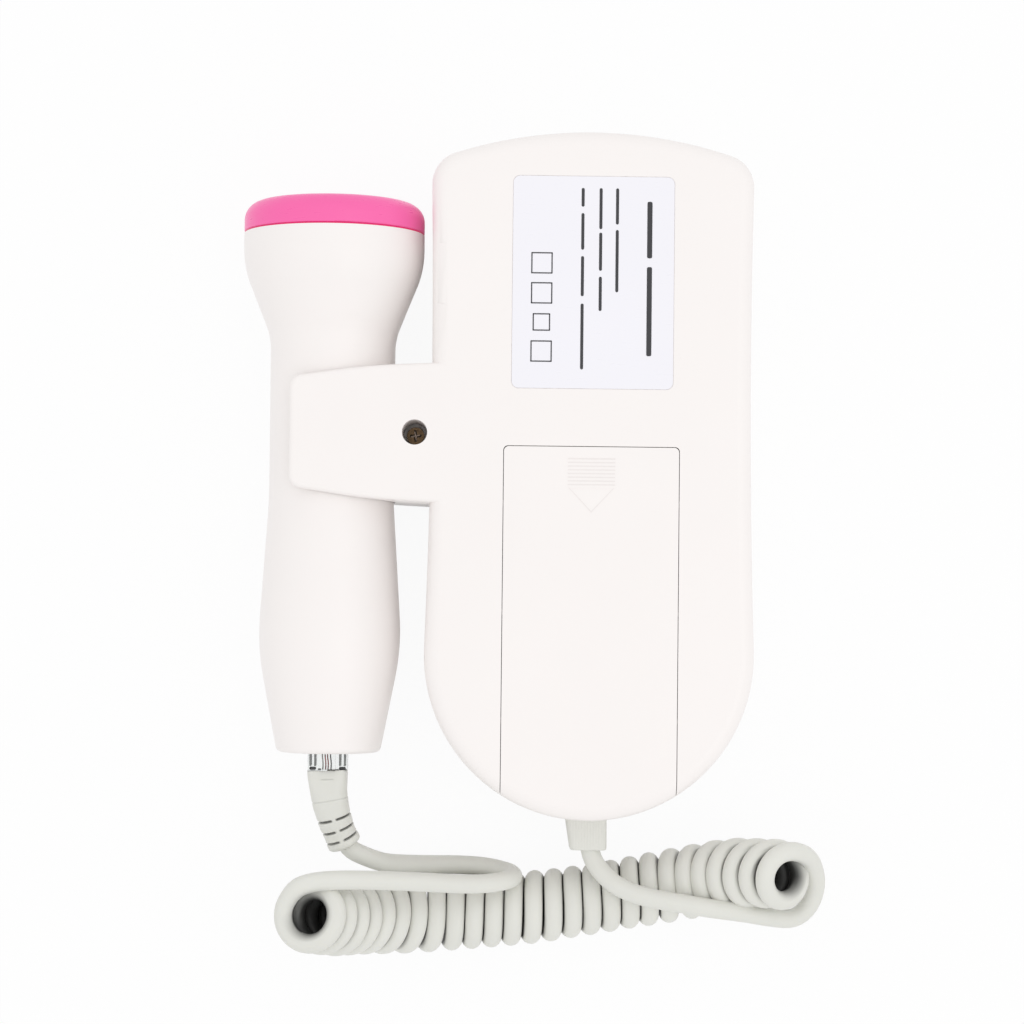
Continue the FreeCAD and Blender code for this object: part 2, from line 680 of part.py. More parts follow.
def door_block(label, side_gap, skin_gap, oversize, rounded):
    """The battery door's shape, or with gaps the room that it needs in the rear shell."""
    body = new_body(label, (case_x, 0, 0))
    skirt_end = S.case_depth - S.door_skirt - side_gap
    sketch = new_sketch(body, "XY_Plane", skirt_end)
    case_outline(sketch, -oversize)
    pad(body, sketch, S.case_depth + oversize - skirt_end)
    if rounded:
        fillet(body, S.rear_rim_radius, lies_at(S.case_depth))
    hollow(body, skirt_end, door_under - skin_gap, S.door_plate + skin_gap)
    trim_to(body, -(S.door_half + side_gap), -FAR / 2, S.door_half + side_gap,
            door_top + side_gap, S.door_corner)
    return body


def rail_blocks(label, inner, outer, low, high, length_gap, to_top):
    """Blocks beside the door's edges: the shell's ribs, or the door's grooves."""
    pieces = []
    for side in (-1, 1):
        for i in range(3):
            middle = door_top - S.rib_drop - S.rib_pitch * i
            bottom = middle - S.rib_length / 2 - length_gap
            top = middle + S.rib_length / 2 + length_gap
            if to_top:
                top = door_top + 1.0
            edges = (case_x + inner, case_x + outer)
            if side < 0:
                edges = (case_x - outer, case_x - inner)
            pieces.append(box(f"{label}_{side + 1}_{i}", (edges[0], bottom, low),
                              (edges[1], top, high)))
    return pieces


rib_middle = S.case_depth - S.rib_sink


def make_rear_shell():
    """The rear shell, with the rear leaf of the probe holder and the battery compartment."""
    outer = case_block("rear_block", S.split_height, S.case_depth, rim=S.rear_rim_radius,
                       rim_at=S.case_depth)
    holder = holder_block("rear_holder", S.split_height, S.case_depth, S.case_depth)
    skin = S.case_depth - S.back_wall
    thin_skin = S.case_depth - S.thin_back_wall
    cavity = case_block("rear_cavity", S.split_height - 1.0, skin, inset=S.side_wall)
    thinning = case_block("thinning", skin - 1.0, thin_skin,
                          inset=S.side_wall + S.rear_rim_radius)
    trim_to(thinning, -S.case_half, door_top + S.door_margin, S.case_half, half_length)
    walls = cut("rear_walls", join("rear_outside", [outer, holder]), [cavity, thinning])
    bay_low = bay_floor - S.bay_wall
    bay_block = box("bay_block", (case_x - bay_half - S.bay_wall, -(bay_end + S.bay_wall), bay_low),
                    (case_x + bay_half + S.bay_wall, bay_top + S.bay_wall, skin + 0.5))
    end_block = case_block("end_block", S.case_depth - S.door_skirt - S.end_wall,
                           S.case_depth - S.overlap, inset=S.overlap)
    trim_to(end_block, -(S.door_half + S.end_wall), -FAR / 2, S.door_half + S.end_wall,
            -(bay_end - S.overlap))
    bosses = []
    for i, (x, y) in enumerate(case_screw_spots):
        bosses.append(cylinder(f"rear_boss_{i}", (x, y, S.split_height), S.well_radius + S.boss_wall,
                               thin_skin + S.overlap / 4 - S.split_height))
    solid = join("rear_solid", [walls, bay_block, end_block] + bosses)

    tools = [door_block("door_room", S.door_gap, S.door_under_gap, S.overlap / 2, False)]
    tools.append(box("bay_room", (case_x - bay_half, -bay_end, bay_floor),
                     (case_x + bay_half, bay_top, S.case_depth + 1.0)))
    tools.append(cradle_tool("rear_cradle"))
    for i, (x, y) in enumerate(case_screw_spots):
        tools.append(cylinder(f"well_{i}", (x, y, S.case_screw_floor), S.well_radius, FAR / 4))
        tools.append(cylinder(f"case_hole_{i}", (x, y, S.split_height - 2.0),
                              S.screw_radius + S.hole_play, FAR / 8))
    x, y = holder_screw_spot
    tools.append(cylinder("holder_well", (x, y, S.holder_screw_floor), S.well_radius, FAR / 4))
    tools.append(cylinder("holder_hole", (x, y, S.split_height - 2.0),
                          S.screw_radius + S.hole_play, FAR / 8))
    label_room = new_body("label_room", (case_x, S.label_middle, 0))
    sketch = new_sketch(label_room, "XY_Plane", S.case_depth - S.label_recess)
    rectangle(sketch, -S.label_width / 2 - S.trim_gap, -S.label_height / 2 - S.trim_gap,
              S.label_width / 2 + S.trim_gap, S.label_height / 2 + S.trim_gap,
              S.label_corner + S.trim_gap)
    pad(label_room, sketch, 2.0)
    tools.append(label_room)
    tools += relief_rooms("rear")
    body = cut("rear_body", solid, tools)
    ribs = rail_blocks("rib", S.door_half + S.door_gap - S.rib_depth - S.door_gap,
                       S.door_half + 2.0, rib_middle - S.rib_height / 2,
                       rib_middle + S.rib_height / 2, 0.0, False)
    return join("rear_shell", [body] + ribs)


def relief_rooms(prefix):
    """The room for the strain relief in a shell's end wall."""
    x = case_x + S.relief_x
    half = S.relief_width / 2 + S.relief_play
    tall = S.relief_height / 2 + S.relief_play
    wide = half + S.relief_flange
    deep = tall + S.relief_flange
    return [box(f"{prefix}_relief_room", (x - half, -FAR / 2, S.split_height - tall),
                (x + half, -relief_start + S.relief_flange, S.split_height + tall)),
            box(f"{prefix}_flange_room", (x - wide, -relief_start, S.split_height - deep),
                (x + wide, -bay_end - S.bay_wall, S.split_height + deep))]


def make_battery_door():
    """The sliding door: a plate whose end wraps over the case's bottom rim."""
    body = door_block("door_body", as_size(0.0), as_size(0.0), as_size(0.0), True)
    arrow = new_sketch(body, "XY_Plane", S.case_depth - S.grip_depth)
    half, line = S.grip_width / 2, S.grip_line
    base, tip = door_top - S.arrow_drop, door_top - S.arrow_drop - S.arrow_length
    polygon(arrow, [(-half, base, 0), (0, tip, 0), (half, base, 0)])
    polygon(arrow, [(-half + line * 2.2, base - line, 0), (0, tip + line * 1.4, 0),
                    (half - line * 2.2, base - line, 0)])
    pocket(body, arrow, 1.0, reverse=True)
    lines = []
    for i in range(GRIP_LINES):
        top = door_top - S.grip_drop - S.grip_pitch * i
        lines.append(box(f"grip_{i}", (case_x - half, top - line, S.case_depth - S.grip_depth),
                         (case_x + half, top, S.case_depth + 1.0)))
    grooves = rail_blocks("groove", S.door_half - S.rib_depth - 0.2, S.door_half + 1.0,
                          rib_middle - S.rib_height / 2 - S.rib_play,
                          rib_middle + S.rib_height / 2 + S.rib_play, 0.3, True)
    return cut("battery_door", body, grooves + lines)


def make_front_shell():
    """The front shell, with the front leaf of the holder, the display seat and the grille."""
    outer = case_block("front_block", 0.0, S.split_height, rim=S.front_rim_radius, rim_at=0.0)
    holder = holder_block("front_holder", front_leaf_top - S.holder_leaf, S.split_height,
                          front_leaf_top - S.holder_leaf)
    cavity = case_block("front_cavity", S.front_wall, S.split_height + 1.0, inset=S.side_wall)
    solids = [cut("front_walls", join("front_outside", [outer, holder]), [cavity])]
    for i, (x, y) in enumerate(case_screw_spots):
        solids.append(cylinder(f"front_boss_{i}", (x, y, S.front_wall - 0.5), S.boss_radius,
                               S.split_height - S.front_wall + 0.5))
    for i, (x, y) in enumerate(board_screw_spots()):
        solids.append(cylinder(f"post_{i}", (x, y, S.front_wall - 0.5), S.post_radius,
                               S.board_height - S.front_wall + 0.5))
    ring = cylinder("speaker_ring_out", (case_x, speaker_y, S.front_wall - 0.5),
                    S.speaker_radius + S.speaker_ring, S.speaker_ring_height + 0.5)
    solids.append(ring)
    solid = join("front_solid", solids)

    tools = [cradle_tool("front_cradle")]
    tools.append(cylinder("speaker_room", (case_x, speaker_y, S.front_wall),
                          S.speaker_radius + S.trim_gap, 10.0))
    for i, (x, y) in enumerate(case_screw_spots):
        tools.append(cylinder(f"case_pilot_{i}", (x, y, S.case_screw_floor - S.case_screw_length),
                              S.screw_radius, FAR / 8))
    for i, (x, y) in enumerate(board_screw_spots()):
        tools.append(cylinder(f"post_pilot_{i}",
                              (x, y, S.board_height + S.board_sheet - S.board_screw_length),
                              S.screw_radius, FAR / 8))
    x, y = holder_screw_spot
    tools.append(cylinder("holder_pilot", (x, y, S.holder_screw_floor - S.holder_screw_length),
                          S.screw_radius, FAR / 8))
    panel_room = new_body("panel_room", (case_x, 0, 0))
    sketch = new_sketch(panel_room, "XY_Plane", -1.0)
    rectangle(sketch, -S.panel_half - S.trim_gap, panel_low - S.trim_gap,
              S.panel_half + S.trim_gap, panel_top + S.trim_gap, S.panel_corner + S.trim_gap)
    pad(panel_room, sketch, S.panel_recess + 1.0)
    tools.append(panel_room)
    tools.append(window_block("view_hole", S.window_seat, -1.0, S.front_wall + 1.0))
    for i, (x, radius) in enumerate(button_spots()):
        tools.append(cylinder(f"button_hole_{i}", (x, button_y, -1.0),
                              radius + S.button_play, S.front_wall + 2.0))
    tools.append(grille_holes())
    tools.append(cylinder("jack_hole", (case_x + S.case_half - 10.0, jack_y,
                                        S.board_height + S.board_sheet + S.jack_depth / 2),
                          S.jack_nose + 0.1, 20.0, "x"))
    tools += relief_rooms("front")
    return cut("front_shell", solid, tools)


def board_screw_spots():
    """The four corners of the main board."""
    x = S.board_half - S.post_inset
    return [(case_x - x, board_top - S.post_inset), (case_x + x, board_top - S.post_inset),
            (case_x - x, board_low + S.post_inset), (case_x + x, board_low + S.post_inset)]


def button_spots():
    """Place across the case and radius: volume down, power, volume up."""
    return [(case_x - S.button_pitch, S.volume_radius), (case_x, S.power_radius),
            (case_x + S.button_pitch, S.volume_radius)]


def grille_holes():
    """Pins that cut the speaker grille's rings of holes."""
    body = new_body("grille_pins", (case_x, speaker_y, 0))
    sketch = new_sketch(body, "XY_Plane", -1.0)
    circle(sketch, 0, 0, S.grille_hole)
    for ring in range(1, 4):
        count = 6 * ring
        for i in range(count):
            angle = 2 * math.pi * i / count
            circle(sketch, S.grille_pitch * (ring * math.cos(angle)),
                   S.grille_pitch * (ring * math.sin(angle)), S.grille_hole)
    pad(body, sketch, S.front_wall + 2.0)
    return body


def window_block(label, shrink, low, high):
    """A block with the display window's rounded outline, drawn in by shrink."""
    body = new_body(label, (case_x, window_middle, 0))
    sketch = new_sketch(body, "XY_Plane", low)
    half_x = S.window_width / 2 - shrink
    half_y = S.window_height / 2 - shrink
    corner = S.window_corner - as_size(shrink) / 2
    rectangle(sketch, -half_x, -half_y, half_x, half_y, corner)
    pad(body, sketch, as_size(high) - low)
    return body


# ---------------------------------------------------------------- pieces on the main unit

def make_rating_label():
    """The bare rating label."""
    body = new_body("rating_label", (case_x, S.label_middle, 0))
    sketch = new_sketch(body, "XY_Plane", S.case_depth - S.label_recess)
    rectangle(sketch, -S.label_width / 2, -S.label_height / 2, S.label_width / 2,
              S.label_height / 2, S.label_corner)
    pad(body, sketch, S.label_sheet)
    return body


def make_front_panel():
    """The trim panel on the front face, with openings for the window and the buttons."""
    body = new_body("front_panel", (case_x, 0, 0))
    sketch = new_sketch(body, "XY_Plane", S.panel_recess - S.panel_sheet)
    rectangle(sketch, -S.panel_half, panel_low, S.panel_half, panel_top, S.panel_corner)
    half_x = S.window_width / 2 + S.trim_gap
    half_y = S.window_height / 2 + S.trim_gap
    rectangle(sketch, -half_x, window_middle - half_y, half_x, window_middle + half_y,
              S.window_corner + S.trim_gap)
    for x, radius in ((-S.button_pitch, S.volume_radius), (as_size(0), S.power_radius),
                      (S.button_pitch, S.volume_radius)):
        circle(sketch, x, button_y, radius + S.button_play)
    pad(body, sketch, S.panel_sheet)
    return body


def make_button(label, x, radius):
    """A push button: cap, retaining flange behind the front wall, and stem."""
    stem_end = (S.board_height - S.switch_body - S.switch_plunger - S.button_travel_room)
    body = new_body(label, (x, button_y, 0))
    for low, high, r in ((S.button_sink, S.front_wall, radius),
                         (S.front_wall, S.front_wall + S.button_flange_sheet,
                          radius + S.button_flange),
                         (S.front_wall + S.button_flange_sheet, stem_end, S.button_stem)):
        sketch = new_sketch(body, "XY_Plane", low)
        circle(sketch, 0, 0, r)
        pad(body, sketch, high - low)
    fillet(body, S.button_edge, lies_at(S.button_sink))
    return body


def make_board():
    """The main board, with holes for the case bosses."""
    plate = box("board_plate", (case_x - S.board_half, board_low, S.board_height),
                (case_x + S.board_half, board_top, S.board_height + S.board_sheet))
    tools = []
    for i, (x, y) in enumerate(case_screw_spots[:2]):
        tools.append(cylinder(f"board_boss_hole_{i}", (x, y, S.board_height - 1.0),
                              S.boss_radius + 0.5, S.board_sheet + 2.0))
    for i, (x, y) in enumerate(board_screw_spots()):
        tools.append(cylinder(f"board_hole_{i}", (x, y, S.board_height - 1.0),
                              S.screw_radius + 0.1, S.board_sheet + 2.0))
    return cut("main_board", plate, tools)


def make_board_components():
    """Chips and capacitors on the main board's rear side."""
    top = S.board_height + S.board_sheet
    size, height = S.chip_size, S.chip_height
    # Place as shares of the board, then width, length and height as shares of the largest chip.
    layout = ((-0.30, 0.30, 1.0, 1.0, 1.0), (0.26, 0.48, 0.75, 0.6, 1.0),
              (-0.70, 0.65, 0.67, 0.42, 1.5), (-0.74, 0.26, 0.5, 0.5, 1.9))
    pieces = []
    for i, (across, along, wide, deep, tall) in enumerate(layout):
        x, y = case_x + S.board_half * across, board_top * along
        pieces.append(box(f"chip_{i}", (x, y, top),
                          (x + size * wide, y + size * deep, top + height * tall)))
    pieces.append(cylinder("capacitor", (case_x + S.board_half * 0.08, board_top * 0.75, top),
                           size * 0.21, height * 3.1))
    return group("board_components", pieces)


def make_tact_switches():
    """One tact switch under each button."""
    pieces = []
    under = S.board_height - S.switch_body
    y = button_y
    for i, (x, _) in enumerate(button_spots()):
        housing = box(f"switch_housing_{i}", (x - S.switch_half, y - S.switch_half, under),
                      (x + S.switch_half, y + S.switch_half, S.board_height))
        plunger = cylinder(f"switch_plunger_{i}", (x, y, under - S.switch_plunger),
                           S.switch_plunger_radius, S.switch_plunger)
        pieces.append(join(f"switch_{i}", [housing, plunger]))
    return group("tact_switches", pieces)


def make_speaker():
    """The speaker's basket and magnet, and its cone."""
    basket = new_body("speaker_basket", (case_x, speaker_y, 0))
    sketch = new_sketch(basket, "XZ_Plane")
    r, low, deep = S.speaker_radius, S.front_wall, S.speaker_depth
    polygon(sketch, [(r - S.speaker_edge, low, 0), (r, low, 0), (r, low + deep * 0.28, 0),
                     (r * 0.62, low + deep * 0.6, 0), (r * 0.62, low + deep, 0),
                     (0, low + deep, 0), (0, low + deep * 0.64, 0),
                     (r * 0.4, low + deep * 0.64, 0), (r - S.speaker_edge, low + deep * 0.16, 0)])
    spin(basket, sketch)
    cone = new_body("speaker_cone", (case_x, speaker_y, 0))
    sketch = new_sketch(cone, "XZ_Plane")
    polygon(sketch, [(0, low + deep * 0.44, 0), (r * 0.35, low + deep * 0.44, 0),
                     (r - S.speaker_edge, low + deep * 0.06, 0),
                     (r - S.speaker_edge, low + deep * 0.15, 0), (r * 0.4, low + deep * 0.63, 0),
                     (0, low + deep * 0.64, 0)])
    spin(cone, sketch)
    return basket, cone


def spin(body, sketch, angle=360.0, axis="V_Axis", reverse=False):
    """Turn a profile about an axis of its sketch."""
    feature = body.newObject("PartDesign::Revolution", f"{body.Name}_turn")
    feature.Profile = sketch
    feature.ReferenceAxis = (sketch, [axis])
    feature.Angle = angle
    feature.Reversed = reverse
    doc.recompute()
    return feature


def make_headphone_jack():
    """The headphone jack: its nose looks out of the side wall, its bore runs along X."""
    top = S.board_height + S.board_sheet
    inner_wall = S.case_half - S.waist_depth - S.side_wall
    mouth = inner_wall + S.side_wall - S.jack_sink
    back = mouth - S.jack_length - S.jack_back
    housing = box("jack_housing", (case_x + back, jack_y - S.jack_width / 2, top),
                  (case_x + inner_wall - S.jack_gap, jack_y + S.jack_width / 2,
                   top + S.jack_depth))
    nose = cylinder("jack_nose_tube", (case_x + inner_wall - S.overlap * 2, jack_y,
                                       top + S.jack_depth / 2), S.jack_nose,
                    mouth - inner_wall + S.overlap * 2, "x")
    bore = cylinder("jack_bore_tool", (case_x + mouth - S.jack_length, jack_y,
                                       top + S.jack_depth / 2), S.jack_bore, S.jack_length + 5.0, "x")
    return cut("headphone_jack", join("jack_solid", [housing, nose]), [bore])


def make_cell(label, side, nub_up):
    """One AA cell, its nub towards +Y or -Y."""
    x = case_x + S.cell_pitch / 2 * side
    z = bay_floor + S.cell_play + S.cell_radius
    upper_face = bay_top - S.contact_sheet
    if nub_up:
        nub_end = upper_face - 0.1
        can_low = nub_end - S.nub_length - S.cell_length
        nub = cylinder(f"{label}_nub", (x, nub_end - S.nub_length, z), S.nub_radius, S.nub_length, "y")
    else:
        nub_end = -bay_end + S.contact_sheet + 0.1
        can_low = nub_end + S.nub_length
        nub = cylinder(f"{label}_nub", (x, nub_end, z), S.nub_radius, S.nub_length, "y")
    can = cylinder(f"{label}_can", (x, can_low, z), S.cell_radius, S.cell_length, "y")
    return join(label, [can, nub])


def make_battery_contacts():
    """The springs, the two upper plates and the lower bridge plate."""
    z = bay_floor + S.cell_play
    half = S.contact_width / 2
    plates = []
    for i, side in enumerate((-1, 1)):
        x = case_x + S.cell_pitch / 2 * side
        plates.append(box(f"plate_{i}", (x - half, bay_top - S.contact_sheet, z),
                          (x + half, bay_top, z + S.contact_height)))
    bridge = box("battery_bridge", (case_x - S.cell_pitch / 2 - half, -bay_end, z),
                 (case_x + S.cell_pitch / 2 + half, -bay_end + S.contact_sheet,
                  z + S.contact_height))
    springs = []
    axis_z = bay_floor + S.cell_play + S.cell_radius
    for i, (side, start, turn) in enumerate(((-1, -bay_end + S.contact_sheet, -90),
                                             (1, bay_top - S.contact_sheet, 90))):
        springs.append(conical_spring(f"spring_{i}", case_x + S.cell_pitch / 2 * side, start,
                                      axis_z, turn))
    return springs, plates, bridge


def conical_spring(label, x, y, z, turn):
    """A conical wire spring whose wide end stands on a contact."""
    wire = S.spring_wire.value
    turns = 4
    rise = S.spring_length.value - wire
    base = S.spring_base.value
    lean = math.degrees(math.atan2(S.spring_taper.value, rise))
    helix = Part.makeHelix(rise / turns, rise, base, -lean)
    profile = Part.Wire([Part.Circle(Vector(base, 0, 0), Vector(0, 1, 0), wire / 2).toShape()])
    solid = Part.Wire(helix.Edges).makePipeShell([profile], True, True)
    thing = doc.addObject("Part::Feature", label)
    thing.Shape = solid
    seat = wire / 2 if turn < 0 else -wire / 2
    thing.Placement = Placement(Vector(x.value, y.value + seat, z.value),
                                Rotation(Vector(1, 0, 0), turn))
    return thing


def make_strain_relief():
    """The strain relief: a flange inside the wall and a tapered block outside."""
    x = case_x + S.relief_x
    body = new_body("cord_strain_relief", (x, 0, S.split_height))
    sketches = []
    for reach, wide, tall in ((0.0, S.relief_width, S.relief_height),
                              (S.relief_length, S.relief_end_width, S.relief_end_height)):
        sketch = new_sketch(body, "XZ_Plane", relief_start + reach)
        rectangle(sketch, -wide / 2, -tall / 2, wide / 2, tall / 2, S.relief_corner)
        sketches.append(sketch)
    loft = body.newObject("PartDesign::AdditiveLoft", "relief_loft")
    loft.Profile = sketches[0]
    loft.Sections = [sketches[1]]
    loft.Ruled = True
    doc.recompute()
    flange = new_sketch(body, "XZ_Plane", relief_start)
    rectangle(flange, -S.relief_width / 2 - S.relief_flange, -S.relief_height / 2 - S.relief_flange,
              S.relief_width / 2 + S.relief_flange, S.relief_height / 2 + S.relief_flange,
              S.relief_corner)
    pad(body, flange, S.relief_flange, reverse=True)
    return body


# ---------------------------------------------------------------- probe

def probe_y(reach):
    """Distance from the probe's tail end, as a y of the row frame."""
    return S.holder_lift - S.probe_tail + reach


def make_probe_half(label, reverse):
    """One half shell of the probe: a half turn of its profile."""
    body = new_body(label, (probe_x, S.holder_lift - S.probe_tail, probe_height))
    sketch = new_sketch(body, "XY_Plane")
    wall = S.probe_wall
    flare = S.bore_shift
    bore = neck_radius - wall
    slope = (S.head_radius - S.waist_radius) / (S.head_start - S.waist_end)
    bore_start = S.waist_end + flare + (bore - (S.waist_radius - wall)) / slope
    polygon(sketch, [
        (0, 0, 0), (S.tail_radius, 0, S.tail_corner), (S.belly_radius, S.belly_reach, S.belly_round),
        (S.waist_radius, S.waist_start, S.waist_round), (S.waist_radius, S.waist_end, S.flare_round),
        (S.head_radius, S.head_start, S.head_round), (S.head_radius, S.cap_start, 0),
        (neck_radius, S.cap_start, 0), (neck_radius, S.cap_start + S.neck_length, 0),
        (bore, S.cap_start + S.neck_length, 0), (bore, bore_start, 0),
        (S.waist_radius - wall, S.waist_end + flare, 0), (S.waist_radius - wall, S.waist_start, 0),
        (S.belly_radius - wall, S.belly_reach, 0), (S.tail_radius - wall, wall, 0), (0, wall, 0)])
    spin(body, sketch, 180.0, "V_Axis", reverse)
    half_x = S.plug_width / 2 + S.plug_play + 0.1
    half_z = S.plug_height / 2 + S.plug_play + 0.1
    mouth = box(f"{label}_mouth", (probe_x - half_x, probe_y(-2.0), probe_height - half_z),
                (probe_x + half_x, probe_y(wall + 0.5), probe_height + half_z))
    latch = box(f"{label}_latch_room", (probe_x - S.latch_width / 2 - 0.3, probe_y(-2.0),
                                        probe_height),
                (probe_x + S.latch_width / 2 + 0.3, probe_y(wall + 0.5),
                 probe_height + half_z + S.latch_sheet + 0.2))
    return cut_as(label, body, [mouth, latch])


def cut_as(label, body, tools):
    """Cut tools out of a body and hand the body's label on to the result."""
    body.Label = f"{label}_turned"
    thing = cut(f"{label}_cut", body, tools)
    thing.Label = label
    return thing


def make_head_cap():
    """The head cap: a cup with a gently domed face."""
    body = new_body("probe_head_cap", (probe_x, S.holder_lift - S.probe_tail, probe_height))
    sketch = new_sketch(body, "XY_Plane")
    rim = S.cap_start + S.cap_gap
    polygon(sketch, [
        (0, S.probe_length, 0), (0, S.probe_length - S.cap_front, 0),
        (S.head_radius - S.cap_wall, S.probe_length - S.cap_front, 0),
        (S.head_radius - S.cap_wall, rim, 0), (S.head_radius, rim, S.cap_lip),
        (S.head_radius, S.probe_length - S.cap_dome, S.cap_corner),
        (S.cap_flat, S.probe_length, S.cap_round)])
    spin(body, sketch)
    return body


def make_transducer():
    """Two half-round crystals behind the cap's face, and the backing that carries them."""
    face = S.probe_length - S.cap_front
    body = new_body("transducer_crystals", (probe_x, S.holder_lift - S.probe_tail, probe_height))
    sketch = new_sketch(body, "XZ_Plane", -face)
    circle(sketch, 0, 0, backing_radius - S.crystal_inset)
    pad(body, sketch, S.crystal_sheet)
    slot = new_sketch(body, "XZ_Plane", -face - 1.0)
    rectangle(slot, -S.crystal_slot / 2, -FAR / 4, S.crystal_slot / 2, FAR / 4)
    pocket(body, slot, 4.0, reverse=True)
    backing = cylinder("crystal_backing", (probe_x, probe_y(face - S.crystal_sheet - S.backing_depth),
                                           probe_height), backing_radius, S.backing_depth, "y")
    return body, backing


def make_probe_jack():
    """The jack behind the probe's tail wall."""
    low = S.probe_wall
    housing = box("socket_housing", (probe_x - S.socket_width / 2, probe_y(low),
                                     probe_height - S.socket_height / 2),
                  (probe_x + S.socket_width / 2, probe_y(low + S.socket_length),
                   probe_height + S.socket_height / 2))
    half_x = S.plug_width / 2 + S.plug_play
    half_z = S.plug_height / 2 + S.plug_play
    end = probe_y(low + S.socket_length - S.socket_wall)
    room = box("socket_room", (probe_x - half_x, probe_y(low - 1.0), probe_height - half_z),
               (probe_x + half_x, end, probe_height + half_z))
    latch = box("socket_latch_room", (probe_x - S.latch_width / 2 - 0.2, probe_y(low - 1.0),
                                      probe_height),
                (probe_x + S.latch_width / 2 + 0.2, end,
                 probe_height + half_z + S.latch_sheet + 0.1))
    return cut("probe_jack", housing, [room, latch])


def blade_boxes(prefix):
    """The four contacts on the plug's underside."""
    pieces = []
    low_z = probe_height - S.plug_height / 2
    for i in range(4):
        x = probe_x + S.blade_pitch * (i - 1.5)
        pieces.append(box(f"{prefix}_{i}", (x - S.blade_sheet / 2,
                                            probe_y(S.plug_inside - S.blade_length), low_z),
                          (x + S.blade_sheet / 2, probe_y(S.plug_inside), low_z + S.blade_height)))
    return pieces


def make_plug():
    """The clear plug with its latch, and its contacts."""
    housing = box("plug_housing", (probe_x - S.plug_width / 2, probe_y(-S.plug_outside),
                                   probe_height - S.plug_height / 2),
                  (probe_x + S.plug_width / 2, probe_y(S.plug_inside),
                   probe_height + S.plug_height / 2))
    latch = box("plug_latch", (probe_x - S.latch_width / 2, probe_y(-S.plug_outside),
                               probe_height + S.plug_height / 2 - 0.1),
                (probe_x + S.latch_width / 2, probe_y(S.plug_inside - 1.0),
                 probe_height + S.plug_height / 2 + S.latch_sheet))
    plug = cut("rj_plug", join("plug_solid", [housing, latch]), blade_boxes("blade_slot"))
    return plug, group("plug_contacts", blade_boxes("blade"))


def rounded_section(centre, direction, wide, tall, corner):
    """A rounded rectangle across a direction that lies in the plan."""
    side = Vector(0, 0, 1).cross(direction).normalize()
    up = Vector(0, 0, 1)
    half_w, half_t = wide / 2, tall / 2
    edges = []
    spots = []
    for a, b in ((-1, -1), (1, -1), (1, 1), (-1, 1)):
        spots.append((a * (half_w - corner), b * (half_t - corner), a, b))
    order = []
    for i, (u, v, a, b) in enumerate(spots):
        first = (u, v + b * corner) if (a * b) < 0 else (u + a * corner, v)
        last = (u + a * corner, v) if (a * b) < 0 else (u, v + b * corner)
        middle = (u + a * corner * math.sqrt(0.5), v + b * corner * math.sqrt(0.5))
        order.append((first, middle, last))

    def at(pair):
        return centre + side * pair[0] + up * pair[1]
    for i, (first, middle, last) in enumerate(order):
        edges.append(Part.Arc(at(first), at(middle), at(last)).toShape())
        following = order[(i + 1) % 4][0]
        edges.append(Part.LineSegment(at(last), at(following)).toShape())
    return Part.Wire(Part.__sortEdges__(edges))


# The boot's bent stretch: reach below the bend, way aside, drop, lean in degrees, and the share
# of its full section that is left.
BOOT_BEND = ((3.6, 0.5, 0.4, 12, 0.75), (7.4, 1.8, 1.1, 24, 0.4), (10.8, 3.8, 1.9, 36, 0.0))


def make_plug_boot():
    """The plug's boot: a straight stretch, then a bent taper down to the cord."""
    x, z = probe_x.value, probe_height.value
    start = probe_y(-S.plug_outside).value
    wide, tall = S.boot_width.value, S.boot_height.value
    end_wide = 2 * S.boot_end_radius.value
    bend = start - S.boot_straight.value
    sections = [
        rounded_section(Vector(x, start, z), Vector(0, -1, 0), wide, tall, 1.2),
        rounded_section(Vector(x, bend, z), Vector(0, -1, 0), wide, tall, 1.4)]
    straight = Part.makeLoft(sections, True, True)
    bent = [sections[1]]
    for reach, aside, drop, angle, share in BOOT_BEND:
        lean = math.radians(angle)
        direction = Vector(math.sin(lean), -math.cos(lean), 0)
        section_wide = end_wide + (wide - end_wide) * share
        section_tall = end_wide + (tall - end_wide) * share
        bent.append(rounded_section(Vector(x + aside, bend - reach, z - drop), direction,
                                    section_wide, section_tall, min(section_tall * 0.4, 2.0)))
    thing = doc.addObject("Part::Feature", "plug_boot")
    thing.Label = "plug_boot"
    thing.Shape = straight.fuse(Part.makeLoft(bent, True, False)).removeSplitter()
    return thing


# ---------------------------------------------------------------- cord

LEAD_MONITOR = (
    (19.9, -78.4, 17.0), (19.9, -81.9, 17.0), (22.9, -84.9, 18.8), (28.6, -86.9, 19.3),
    (34.6, -88.2, 18.8), (40.6, -89.3, 17.8), (46.9, -90.3, 15.7), (53.6, -91.7, 12.4),
    (60.4, -93.0, 8.6), (66.4, -93.4, 7.4), (69.4, -90.6, 9.0), (70.3, -86.0, 11.8),
    (68.8, -81.4, 15.2), (65.2, -78.2, 18.6), (60.8, -76.6, 21.2))
LEAD_PROBE = (
    (-42.8, -91.4, 27.8), (-42.6, -88.2, 28.8), (-40.2, -85.6, 30.4), (-36.6, -84.3, 31.4),
    (-32.6, -83.9, 31.4), (-27.4, -84.0, 29.4), (-20.0, -84.5, 25.6), (-11.8, -85.3, 21.6),
    (-3.2, -85.9, 18.9), (3.96, -85.7, 18.4), (6.1, -84.9, 16.3), (6.1, -83.8, 13.2),
    (3.96, -82.95, 11.1), (-1.8, -82.7, 11.0), (-9.4, -82.9, 11.1), (-18.0, -82.8, 13.2),
    (-24.2, -82.2, 16.0), (-28.702, -80.851, 17.3), (-30.671, -78.14, 17.3))
